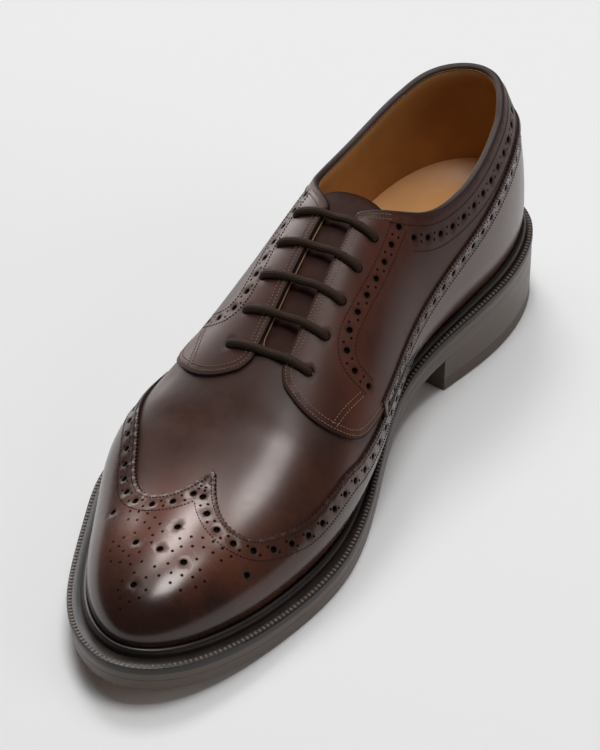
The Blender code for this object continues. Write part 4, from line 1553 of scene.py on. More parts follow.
@dataclass(frozen=True)
class WaxedCord:
    """Round woven lace: a dark cover of fine diagonal strands."""

    name: str
    dark: Colour = (0.02, 0.0098, 0.0058)
    light: Colour = (0.056, 0.029, 0.0175)

    def material(self) -> Material:
        """Paint the finish.

        Returns:
            The new material.
        """
        paint = Paint(self.name)
        turn = paint.number("turn")
        run = paint.number("run")
        weave = (run * 4.2 + turn * 6.0).wave() * (run * 4.2 - turn * 6.0).wave()
        fuzz = paint.noise(paint.place(), 5.0, 2.0)
        share = (weave * 0.35 + fuzz * 0.7).clamped()
        return paint.finish(Base_Color=paint.mix(share, self.dark, self.light), Roughness=0.72 - weave * 0.1,
                            Normal=paint.bump(weave + fuzz * 0.5, 0.08), Specular_IOR_Level=0.2)


@dataclass(frozen=True)
class SewingThread:
    """Waxed thread, with a little colour change from stitch to stitch."""

    name: str
    base: Colour
    worn: Colour

    def material(self) -> Material:
        """Paint the finish.

        Returns:
            The new material.
        """
        paint = Paint(self.name)
        place = paint.place()
        change = paint.noise(place, 0.6, 2.0)
        twist = paint.noise(place, 7.0, 1.0)
        colour = paint.mix((change * 1.2 - 0.1).clamped(), self.base, self.worn)
        return paint.finish(Base_Color=colour, Roughness=0.7 + (twist - 0.5) * 0.2,
                            Normal=paint.bump(twist, 0.05), Specular_IOR_Level=0.15)


@dataclass(frozen=True)
class PaintedHoleShade:
    """Painted shade: a dark disc that stands for the unlit inside of a punched hole or a pinhole."""

    name: str
    base: Colour = (0.0035, 0.0022, 0.0018)
    frayed: Colour = (0.010, 0.0055, 0.004)

    def material(self) -> Material:
        """Paint the finish.

        Returns:
            The new material.
        """
        paint = Paint(self.name)
        shade_mottle = paint.noise(paint.place(), 3.0, 2.0)
        return paint.finish(Base_Color=paint.mix(shade_mottle.clamped(), self.base, self.frayed),
                            Roughness=0.85 + (shade_mottle - 0.5) * 0.1, Normal=paint.bump(shade_mottle, 0.05),
                            Specular_IOR_Level=0.1)


@dataclass(frozen=True)
class PaleFloor:
    """Seamless pale paper."""

    name: str = "pale floor"
    base: Colour = (0.855, 0.855, 0.855)

    def material(self) -> Material:
        """Paint the finish.

        Returns:
            The new material.
        """
        paint = Paint(self.name)
        fibre = paint.noise(paint.place(), 0.02, 2.0)
        colour = paint.mix((fibre * 0.1).clamped(), self.base, tuple(0.97 * c for c in self.base))
        return paint.finish(Base_Color=colour, Roughness=0.9, Specular_IOR_Level=0.1)


class NodeTree(Nodes):
    """A Geometry Nodes tree with named sizes, which ends in plain painted geometry."""

    def __init__(self, name: str, sizes: dict[str, float]) -> None:
        """Start the tree.

        Args:
            name: Name of the tree.
            sizes: Named inputs with their usual sizes in millimetres.
        """
        super().__init__(bpy.data.node_groups.new(name, "GeometryNodeTree"))
        sockets = self.tree.interface
        sockets.new_socket("Geometry", in_out="INPUT", socket_type="NodeSocketGeometry")
        for key, value in sizes.items():
            socket = sockets.new_socket(key, in_out="INPUT", socket_type="NodeSocketFloat")
            socket.default_value = value * MM
        sockets.new_socket("Finish", in_out="INPUT", socket_type="NodeSocketMaterial")
        sockets.new_socket("Geometry", in_out="OUTPUT", socket_type="NodeSocketGeometry")
        self.inputs = self.tree.nodes.new("NodeGroupInput").outputs
        self.result = self.tree.nodes.new("NodeGroupOutput")

    def direction(self, name: str) -> NodeSocket:
        """Return a direction that the points carry."""
        return self.node("GeometryNodeInputNamedAttribute", {"data_type": "FLOAT_VECTOR"}, {"Name": name})

    def scatter(self, points: NodeSocket, ball: dict[str, Any], turn: NodeSocket,
                sizes: Sequence[str]) -> None:
        """Set a ball on every point, realize and paint the balls, and end the tree.

        Args:
            points: Where they are set.
            ball: Segments, rings and radius of the ball before it is sized.
            turn: Its rotation at each point.
            sizes: Names of the inputs for its three sizes.
        """
        shape = self.node("GeometryNodeMeshUVSphere", {}, ball)
        scale = self.node("ShaderNodeCombineXYZ", {}, {k: self.inputs[name] for k, name in zip("XYZ", sizes)})
        copies = self.node("GeometryNodeInstanceOnPoints", {},
                           {"Points": points, "Instance": shape, "Rotation": turn, "Scale": scale})
        real = self.node("GeometryNodeRealizeInstances", {}, {"Geometry": copies})
        smooth = self.node("GeometryNodeSetShadeSmooth", {}, {"Geometry": real})
        painted = self.node("GeometryNodeSetMaterial", {},
                            {"Geometry": smooth, "Material": self.inputs["Finish"]})
        self.tree.links.new(painted, self.result.inputs[0])

    def run(self, name: str, mesh: Mesh, material: Material, sizes: dict[str, float]) -> Object:
        """Run the tree on a mesh of paths or points.

        Args:
            name: Name of the piece.
            mesh: Paths or points with their directions.
            material: Finish of the piece.
            sizes: Named inputs in millimetres that differ from the usual.

        Returns:
            A plain mesh piece at the origin.
        """
        carrier = bpy.data.objects.new(name + "_carrier", mesh)
        bpy.context.scene.collection.objects.link(carrier)
        modifier = carrier.modifiers.new("nodes", "NODES")
        modifier.node_group = self.tree
        given: dict[str, Any] = {key: size * MM for key, size in sizes.items()}
        given["Finish"] = material
        for item in self.tree.interface.items_tree:
            if item.in_out == "INPUT" and item.name in given:
                modifier[item.identifier] = given[item.name]
        carrier.update_tag()
        graph = bpy.context.evaluated_depsgraph_get()
        made = bpy.data.meshes.new_from_object(carrier.evaluated_get(graph))
        made.name = name
        bpy.data.objects.remove(carrier, do_unlink=True)
        piece = bpy.data.objects.new(name, made)
        bpy.context.scene.collection.objects.link(piece)
        return piece


class StitchTree(NodeTree):
    """Lays stitches along paths, each one a small capsule turned with the path and the surface."""

    def __init__(self) -> None:
        """Build the tree."""
        super().__init__("stitches", {"Pitch": 2.0, "Length": 1.5, "Width": 0.5, "Height": 0.4})
        path = self.node("GeometryNodeMeshToCurve", {}, {"Mesh": self.inputs["Geometry"]})
        places = self.node("GeometryNodeResampleCurve", {"mode": "LENGTH"},
                           {"Curve": path, "Length": self.inputs["Pitch"]})
        tangent = self.node("GeometryNodeInputTangent", {}, {})
        turn = self.node("FunctionNodeAxesToRotation", {"primary_axis": "Z", "secondary_axis": "X"},
                         {"Primary Axis": self.direction("out"), "Secondary Axis": tangent})
        self.scatter(places, {"Segments": 6, "Rings": 4, "Radius": 0.5}, turn, ("Length", "Width", "Height"))


class PunchTree(NodeTree):
    """Sets a dark dished disc of painted shade in every punched hole and pinhole."""

    def __init__(self) -> None:
        """Build the tree."""
        super().__init__("punches", {"Radius": 0.5, "Depth": 0.12})
        out = self.direction("out")
        turn = self.node("FunctionNodeAlignRotationToVector", {"axis": "Z"}, {"Vector": out})
        ball = {"Segments": 10, "Rings": 4, "Radius": 1.0}
        self.scatter(self.inputs["Geometry"], ball, turn, ("Radius", "Radius", "Depth"))


class Thread(Enum):
    """Threads that the shoe is sewn with."""

    DARK = "dark"
    TAN = "tan"


@dataclass
class Workshop:
    """What the sub-assemblies share: the last, its pattern, the finishes and the pieces made."""

    last: Last
    pattern: Pattern
    patina: Patina
    stitch: StitchTree
    punch: PunchTree
    seam_step: float = 1.0
    pieces: list[Object] = field(default_factory=list)
    seams: dict[Thread, list[tuple[Array, Reading]]] = field(default_factory=dict)
    cups: list[tuple[Array, float, Reading]] = field(default_factory=list)

    def dress(self, piece: Object, slot: str, *nodes: str) -> None:
        """Put a finished piece on the frame.

        Args:
            piece: The finished object.
            slot: Not used.
            *nodes: Nodes that it stands for.
        """
        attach(piece, BODY)
        if nodes:
            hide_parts(*nodes)
        self.pieces.append(piece)
        LOG.info("%s: %d faces", piece.name, len(piece.data.polygons))

    def make(self, draft: Draft, name: str, material: Material, sharp: float, slot: str, *nodes: str) -> None:
        """Turn a draft into a piece and put it on the frame."""
        self.dress(draft.piece(self.last, name, material, sharp), slot, *nodes)

    def sew(self, thread: Thread, line: Line, height: Reading) -> None:
        """Add a row of stitches along a line at a height over the last."""
        self.seams.setdefault(thread, []).append((line.spaced(self.seam_step), height))

    def path_mesh(self, name: str, paths: Sequence[tuple[Array, Array]],
                  joined: bool = True) -> Mesh:
        """Return paths or points as a mesh that carries its outward directions.

        Args:
            name: Name of the mesh.
            paths: Places and outward directions in shoe coordinates.
            joined: Whether the points of a path are joined by edges.

        Returns:
            The mesh, with the direction attribute.
        """
        points = []
        outs = []
        edges = []
        for place, out in paths:
            if joined:
                edges += [(len(points) + i, len(points) + i + 1) for i in range(len(place) - 1)]
            points += self.last.world(place).tolist()
            outs.append(rows_of(out[:, 1], -out[:, 0], out[:, 2]))
        mesh = bpy.data.meshes.new(name)
        mesh.from_pydata(points, edges, [])
        flat = np.concatenate(outs).astype(np.float32).ravel()
        mesh.attributes.new("out", "FLOAT_VECTOR", "POINT").data.foreach_set("vector", flat)
        return mesh


def sweep(path: Array, one: Array, two: Array, radius_one: Any, radius_two: Any,
          sides: int) -> tuple[Array, list[tuple[int, ...]], Array]:
    """Sweep an oval along a path.

    Args:
        path: Centre points.
        one: Direction of the first half width at each point.
        two: Direction of the second half width at each point.
        radius_one: First half width.
        radius_two: Second half width.
        sides: Number of sides.

    Returns:
        Points, faces and each point's turn about the path.
    """
    turn = np.linspace(0.0, 2.0 * math.pi, sides, endpoint=False)
    wide = np.broadcast_to(radius_one, len(path))[:, None, None] * np.cos(turn)[None, :, None]
    tall = np.broadcast_to(radius_two, len(path))[:, None, None] * np.sin(turn)[None, :, None]
    points = path[:, None, :] + one[:, None, :] * wide + two[:, None, :] * tall
    faces: list[tuple[int, ...]] = []
    for i in range(len(path) - 1):
        for k in range(sides):
            n = (k + 1) % sides
            faces.append((i * sides + k, i * sides + n, (i + 1) * sides + n, (i + 1) * sides + k))
    faces.append(tuple(range(sides))[::-1])
    faces.append(tuple((len(path) - 1) * sides + k for k in range(sides)))
    return points.reshape(-1, 3), faces, np.tile(turn, len(path))


@dataclass
class ShellUpper:
    """The vamp leather, its lining and the binding of the collar."""

    shop: Workshop
    leather: float = 1.0
    lining_gap: float = 0.05
    wall: float = 1.8
    rows: int = 34
    cut_edge: float = 4.5
    # Painted shade on the vamp before the tabs of the facings: how far it reaches and how strong it is.
    tab_reach: float = 8.0
    tab_dull: float = 0.6
    binding_half: float = 1.7
    binding_drop: float = 1.0
    binding_sides: int = 14
    binding_pitch: float = 1.5
    binding_sunk: float = 0.25
    binding_rise: float = 0.45
    binding_roll: float = 0.2
    binding_end: float = 0.35
    binding_run: float = 9.0
    binding_rim: float = 0.75
    crease_bow: float = 0.006
    binding_sharp: float = 70.0
    sharp: float = 60.0

    class Crease(NamedTuple):
        """One soft trough: its middle, half length, half width and depth."""

        along: float
        girth: float
        length: float
        width: float
        depth: float

    CREASES = (Crease(206.0, 12.0, 30.0, 4.5, -0.22), Crease(213.0, -20.0, 26.0, 4.0, -0.2),
               Crease(199.0, 38.0, 16.0, 3.5, -0.2))

    def build(self) -> None:
        """Make the three pieces."""
        vamp = BurnishedCalf("vamp leather", roughness=0.33, coat=0.35).material()
        lining = LiningCalf("lining leather").material()
        shell = self._shell(0.0, -self.leather, self._relief)
        self.shop.make(shell, "vamp", vamp, self.sharp, "vamp_leather", "upper")
        inner = self._shell(-self.leather - self.lining_gap, -self.wall, None)
        self.shop.make(inner, "lining", lining, self.sharp, "insole_leather")
        self._binding()

    def _relief(self, layout: Array) -> Array:
        """Return the soft creases where the vamp flexes.

        Args:
            layout: Layout points.

        Returns:
            Heights, below 0 in a crease.
        """
        height = np.zeros(len(layout))
        for crease in self.CREASES:
            beside = layout[:, 1] - crease.girth
            bow = crease.along - self.crease_bow * beside ** 2
            across = np.exp(-((layout[:, 0] - bow) / crease.width) ** 2)
            height += crease.depth * across * np.exp(-(beside / crease.length) ** 2)
        return height

    def _shell(self, outer: float, inner: float,
               relief: Reading | None) -> Draft:
        """Make a shell of the upper between two heights over the last.

        Args:
            outer: Height of its outer face.
            inner: Height of its inner face.
            relief: Creases of the leather, where it has them.

        Returns:
            The closed mesh.
        """
        pattern = self.shop.pattern
        ribs = pattern.ribs_round()
        top = pattern.opening(ribs)
        bottom = pattern.full(ribs)
        share = np.linspace(0.0, 1.0, self.rows)[None, :]
        girth = top[:, None] + (bottom - top)[:, None] * share
        along = ribs[:, :1] + ribs[:, 1:2] * girth
        layout = np.stack([along, ribs[:, 2:3] * girth], axis=-1).reshape(-1, 2)
        lift = relief(layout) if relief else np.zeros(len(layout))
        points = [self.shop.last.place(layout, outer + lift), self.shop.last.place(layout, inner + lift)]
        count, rows, columns = len(layout), self.rows, len(ribs)
        faces = grid_faces(rows, columns, closed=True)
        faces += [tuple(i + count for i in face[::-1]) for face in faces]
        for i in range(columns):
            n = (i + 1) % columns
            low, low_next = i * rows + rows - 1, n * rows + rows - 1
            faces.append((low, low_next, low_next + count, low + count))
            if max(ribs[i, 0], ribs[n, 0]) <= THROAT_FOOT:
                faces.append((n * rows, i * rows, i * rows + count, n * rows + count))
        draft = Draft()
        tone = self.shop.patina(layout)
        cut = np.exp(-((girth - top[:, None]) / self.cut_edge) ** 2) * (ribs[:, :1] <= THROAT_FOOT)
        # The rim number darkens the vamp's cut edge and, on the outer shell, paints shade before the tabs.
        rim = np.maximum(cut.ravel(), self._dull(layout)) if relief else cut.ravel()
        draft.add(join(*points), faces, tone=np.tile(tone, 2), rim=np.tile(rim, 2))
        return draft

    def _dull(self, layout: Array) -> Array:
        """Return how far the vamp is darkened as painted shade, and left less polished, in the corner before
        the tabs of the facings.
        """
        edge = join(*(self.shop.pattern.tab[side].points for side in SIDES))
        return self.tab_dull * np.exp(-(nearest(layout, edge) / self.tab_reach) ** 2)

    def _binding(self) -> None:
        """Make the rolled binding of the collar, from one facing round the heel to the other."""
        toplines = [self.shop.pattern.topline[side].line for side in SIDES]
        lateral, medial = (line.spaced(self.binding_pitch) for line in toplines)
        layout = join(lateral[::-1], medial[1:])
        spot = self.shop.last.read(layout)
        run = np.gradient(spot.point, axis=0)
        below = unit(np.cross(spot.normal, unit(run)))
        lowered = below * (self.binding_drop - self.binding_rise)
        centre = spot.point - spot.normal * self.binding_sunk + lowered
        number = np.arange(len(layout))
        ends = np.minimum(number, number[::-1]) * self.binding_pitch
        swell = self.binding_end + (1.0 - self.binding_end) * ease(ends / self.binding_run)
        points, faces, _ = sweep(centre, spot.normal, below, self.binding_half * swell,
                                 self.binding_drop * swell + self.binding_roll, self.binding_sides)
        draft = Draft()
        draft.add(points, faces, tone=0.0, rim=self.binding_rim)
        calf = BurnishedCalf("collar binding", roughness=0.36, coat=0.25).material()
        self.shop.make(draft, "collar_binding", calf, self.binding_sharp, "quarter_leather")


@dataclass
class Brogueing:
    """Sizes of the punched rows, the gimped edges and the seams beside them."""

    tooth_pitch: float = 2.0
    tooth_depth: float = 0.75
    hole_radius: float = 1.25
    hole_spill: float = 1.02
    hole_floor: float = 0.08
    pin_radius: float = 0.6
    pin_apart: float = 1.35
    row_inset: float = 5.0
    row_end: float = 4.0
    seams: tuple[float, float] = (1.8, 8.3)

    def gimped(self, lines: Sequence[Line]) -> list[Array]:
        """Return the toothed edges of some lines."""
        return [line.toothed(self.tooth_pitch, self.tooth_depth) for line in lines]

    def stitched(self, lines: Sequence[Line]) -> list[Line]:
        """Return the two seams inside each of some lines."""
        return [line.inward(inset) for line in lines for inset in self.seams]

    def punched(self, line: Line, pitch: float) -> tuple[Array, Array]:
        """Mark a row of holes with pairs of pinholes between them.

        Args:
            line: Middle of the row.
            pitch: Distance from hole to hole.

        Returns:
            Places of the holes and of the pinholes.
        """
        count = max(2, round(line.length / pitch) + 1)
        places = np.linspace(0.0, line.length, count)
        between = 0.5 * (places[1:] + places[:-1])
        pins = []
        for side in SIDES:
            beside = line.inward(side * self.pin_apart)
            pins.append(beside.at(between * beside.length / line.length))
        return line.at(places), join(*pins)

    def bordered(self, lines: Sequence[Line], start: float, pitch: float) -> tuple[Array, Array]:
        """Mark the punched rows that follow the edges of an overlay.

        Args:
            lines: Its edges.
            start: Distance along each edge to the first hole.
            pitch: Distance from hole to hole.

        Returns:
            Places of the holes and of the pinholes.
        """
        marks = []
        for line in lines:
            row = line.inward(self.row_inset)
            marks.append(self.punched(row.cut(start, row.length - self.row_end), pitch))
        holes, pins = zip(*marks)
        return join(*holes), join(*pins)


@dataclass
class Overlays:
    """The wing tip, the counter and the two quarters, with their brogueing."""

    shop: Workshop
    brogue: Brogueing = field(default_factory=Brogueing)
    bed: float = 0.02
    wing_top: float = 1.3
    wing_pitch: float = 8.0
    wing_row_start: float = 12.0
    peak_gap: float = 0.4
    quarter_top: float = 1.35
    quarter_skived: float = 0.45
    skive_start: float = 1.0
    skive_run: float = 6.0
    skive_end: float = 4.0
    counter_thick: float = 1.0
    counter_pitch: float = 7.6
    counter_lap: float = 1.5
    counter_gap: float = 0.7
    counter_seam_end: float = 3.0
    row_start: float = 3.8
    facing_pitch: float = 8.3
    facing_seams: tuple[float, float] = (-3.4, 3.4)
    facing_start: float = 112.0
    edge_seams: tuple[float, float] = (1.5, 3.5)
    edge_pitch: float = 1.3
    bar_seams: tuple[float, float] = (-1.0, 1.0)
    tab_round: float = 4.0
    tab_lap: float = 6.0
    collar_seam: float = 4.6
    collar_row: float = 9.4
    collar_low: float = 14.6
    collar_row_end: tuple[float, float] = (108.6, 29.8)
    collar_seam_end: tuple[float, float] = (113.5, 19.0)
    collar_low_end: tuple[float, float] = (111.0, 33.5)
    eyelet_radius: float = 2.0
    eyelet_first: float = 125.0
    eyelet_last: float = 181.5
    eyelet_lateral: float = 19.0
    eyelet_medial: float = 16.5
    eyelets: int = 5
    gloss_medial: float = 0.24
    gloss_lateral: float = 0.45
    support_inset: float = 0.9
    support_end: float = 1.5
    support_pitch: float = 1.4

    def build(self) -> None:
        """Make the four panels."""
        self._wing()
        self._counter()
        for side, name in zip(SIDES, ("quarter_lateral", "quarter_medial")):
            self._quarter(side, name)

    def _support(self, lines: Sequence[Line]) -> Array:
        """Return points just inside the edges, which keep the field level.

        Args:
            lines: Edges of the panel.

        Returns:
            Layout points.
        """
        inner = [line.inward(self.support_inset) for line in lines]
        kept = [line.cut(self.support_end, line.length - self.support_end) for line in inner]
        return join(*(line.spaced(self.support_pitch) for line in kept))

    def _finish(self, name: str, slot: str, calf: BurnishedCalf, panel: Panel, pins: Array) -> None:
        """Cut a panel, put it on the frame and mark the dark discs of painted shade in its holes and
        pinholes.

        Args:
            name: Node that the panel stands for.
            slot: Material slot of the record.
            calf: Its finish.
            panel: The panel with its holes.
            pins: Places of its pinholes.
        """
        draft = panel.draft(self.shop.patina)
        self.shop.make(draft, name + "_panel", calf.material(), panel.sharp, slot, name)
        radius = self.brogue.hole_radius
        holes = panel.holes[panel.radii == radius]
        self.shop.cups.append((holes, radius * self.brogue.hole_spill,
                               lambda layout: panel.low(layout) + self.brogue.hole_floor))
        self.shop.cups.append((pins, self.brogue.pin_radius, panel.top))

    def _wing(self) -> None:
        """Make the wing tip with its rows and the medallion."""
        shop, brogue = self.shop, self.brogue
        lines = [shop.pattern.wing[side] for side in SIDES]
        edges = brogue.gimped(lines)
        feet = [shop.pattern.foot_line(side, WING_ROWS[0].along, True) for side in SIDES]
        top = level(self.wing_top)
        for seam in brogue.stitched(lines):
            keep = seam.points[:, 1] * seam.side > self.peak_gap
            shop.sew(Thread.DARK, Line(shop.last, seam.points[keep], seam.side), top)
        rows = brogue.bordered(lines, self.wing_row_start, self.wing_pitch)
        halves = np.array(MEDALLION_HOLES), np.array(MEDALLION_PINS)
        holes, pins = (join(row, half, half[half[:, 1] > 0.0] * MIRROR) for row, half in zip(rows, halves))
        panel = Panel(shop.last, join(edges[0], edges[1][::-1][1:]), self._support(lines), top,
                      level(self.bed), holes, np.full(len(holes), brogue.hole_radius),
                      join(feet[1], feet[0][::-1][1:]))
        calf = BurnishedCalf("wing tip leather", roughness=0.25, coat=0.36, glaze=0.18)
        self._finish("wing_tip", "wing_leather", calf, panel, pins)

    def _quarter_height(self, layout: Array) -> Array:
        """Return the quarter's face, which is skived under the counter.

        Args:
            layout: Layout points.

        Returns:
            Heights over the last.
        """
        height = np.full(len(layout), self.quarter_top)
        covered = ease((Pattern.COUNTER_FRONT - layout[:, 0]) / self.skive_end)
        for side in SIDES:
            below = self.shop.pattern.counter[side].below(layout)
            share = ease((below - self.skive_start) / self.skive_run) * covered
            skive = (self.quarter_top - self.quarter_skived) * share
            height = np.where(layout[:, 1] * side >= 0.0, height - skive, height)
        return height

    def _counter_bed(self, layout: Array) -> Array:
        """Return the counter's back, which lies on the quarter."""
        return self._quarter_height(layout) + self.bed

    def _counter_height(self, layout: Array) -> Array:
        """Return the counter's face."""
        return self._quarter_height(layout) + self.counter_thick

    def _counter(self) -> None:
        """Make the counter, which runs round the heel and forward to the wings."""
        shop, brogue = self.shop, self.brogue
        lines = [shop.pattern.counter[side].line for side in SIDES]
        edges = brogue.gimped(lines)
        lows = []
        for side in SIDES:
            wing = shop.pattern.wing[side].points
            front = wing[wing[:, 0] <= Pattern.COUNTER_FRONT + self.counter_lap][::-1]
            above = front - np.array([0.0, side * self.counter_gap])
            foot = shop.pattern.foot_line(side, WING_ROWS[0].along - 1.0, False)
            lows.append(join(above[::4], foot))
        for seam in brogue.stitched(lines):
            kept = seam.cut(Line.START, seam.length - self.counter_seam_end)
            shop.sew(Thread.DARK, kept, self._counter_height)
        holes, pins = brogue.bordered(lines, self.row_start, self.counter_pitch)
        panel = Panel(shop.last, join(edges[0][::-1], edges[1][1:]), self._support(lines),
                      self._counter_height, self._counter_bed, holes,
                      np.full(len(holes), brogue.hole_radius), join(lows[1], lows[0][::-1][1:]))
        calf = BurnishedCalf("counter leather", roughness=0.3, coat=0.3, dark=(0.04, 0.016, 0.0115))
        self._finish("counter", "counter_leather", calf, panel, pins)

    def eyelet_places(self, side: float) -> Array:
        """Return the places of one side's eyelets, from the top.

        Args:
            side: Side of the shoe.

        Returns:
            Layout points.
        """
        along = np.linspace(self.eyelet_first, self.eyelet_last, self.eyelets)
        girth = self.eyelet_medial if side > 0.0 else -self.eyelet_lateral
        return rows_of(along, np.full(self.eyelets, girth))

    def _quarter(self, side: float, name: str) -> None:
        """Make one quarter, from the heel seam to the rounded tab of its facing.

        Args:
            side: Side of the shoe.
            name: Node that the quarter stands for.
        """
        shop, pattern = self.shop, self.shop.pattern
        tab, collar, facing = pattern.tab[side], pattern.topline[side].line, pattern.facing_row[side]
        front = Line(shop.last, join(pattern.opening_edge[side].points, tab.points), side)
        front = front.rounded(self.tab_round)
        edge = Line(shop.last, front.points[front.points[:, 0] > self.facing_start], side)
        seams = [(Thread.DARK, collar.inward(self.collar_seam).until(self.collar_seam_end)),
                 (Thread.DARK, collar.inward(self.collar_low).until(self.collar_low_end))]
        for thread, line, insets in ((Thread.DARK, facing, self.facing_seams),
                                     (Thread.TAN, edge, self.edge_seams),
                                     (Thread.TAN, pattern.bar_row[side], self.bar_seams)):
            seams += [(thread, line.inward(inset)) for inset in insets]
        for thread, seam in seams:
            shop.sew(thread, seam, self._quarter_height)
        row = collar.inward(self.collar_row).until(self.collar_row_end)
        rows = (self.brogue.punched(row.cut(self.row_start, row.length), self.counter_pitch),
                self.brogue.punched(facing, self.facing_pitch))
        holes, pins = (join(*marks) for marks in zip(*rows))
        lower = pattern.counter[side].line.inward(Pattern.QUARTER_LAP).points
        lower = lower[lower[:, 0] < tab.points[-1, 0] - self.tab_lap]
        radii = np.repeat([self.brogue.hole_radius, self.eyelet_radius], [len(holes), self.eyelets])
        panel = Panel(shop.last, join(front.spaced(self.edge_pitch), lower[::-1][::3]),
                      self._support([front]), self._quarter_height, level(self.bed),
                      join(holes, self.eyelet_places(side)), radii)
        gloss = self.gloss_medial if side > 0.0 else self.gloss_lateral
        calf = BurnishedCalf("quarter leather", roughness=0.42, coat=0.06, gloss=gloss,
                             dark=(0.032, 0.0118, 0.0086), warm=(0.105, 0.034, 0.021))
        self._finish(name, "quarter_leather", calf, panel, pins)


@dataclass
class Tongue:
    """The tongue under the facings."""

    shop: Workshop
    top_along: float = 112.0
    foot_along: float = 203.0
    top_half: float = 24.0
    foot_half: float = 13.0
    corner: float = 6.0
    shoulder: tuple[float, float] = (1.6, 4.0)
    crown: float = 0.4
    face: float = -2.6
    thick: float = 2.0
    hem: float = 1.1
    grid: float = 3.0
    edge_drop: float = 0.4
    side_points: int = 60
    top_points: int = 24

    def build(self) -> None:
        """Make the tongue."""
        along = np.linspace(self.top_along + self.corner, self.foot_along, self.side_points)
        share = (along - self.top_along) / (self.foot_along - self.top_along)
        half = self.top_half + (self.foot_half - self.top_half) * share
        shoulder = (self.top_along + self.shoulder[0], half[0] - self.shoulder[1])
        top = curve_through([(along[0], half[0]), shoulder, (self.top_along, 0.5 * half[0]),
                             (self.top_along - self.crown, 0.0)], self.top_points)
        right = join(top[::-1], rows_of(along, half)[1:])
        outline = join(right, (right * MIRROR)[::-1][:-1])
        run = unit(np.roll(outline, -1, axis=0) - np.roll(outline, 1, axis=0))
        inner = outline + self.hem * rows_of(run[:, 1], -run[:, 0]) * np.sign(run[len(top), 0])
        panel = Panel(self.shop.last, outline, inner, level(self.face), level(self.face - self.thick),
                      grid=self.grid, edge_drop=self.edge_drop)
        # The tongue gets no warmth and a dark colour: painted shade from the facings and lace over it.
        calf = BurnishedCalf("tongue leather", roughness=0.7, coat=0.0, gloss=0.2,
                             dark=(0.034, 0.0124, 0.009)).material()
        draft = panel.draft(level(0.0))
        self.shop.make(draft, "tongue_panel", calf, panel.sharp, "tongue_leather", "tongue")


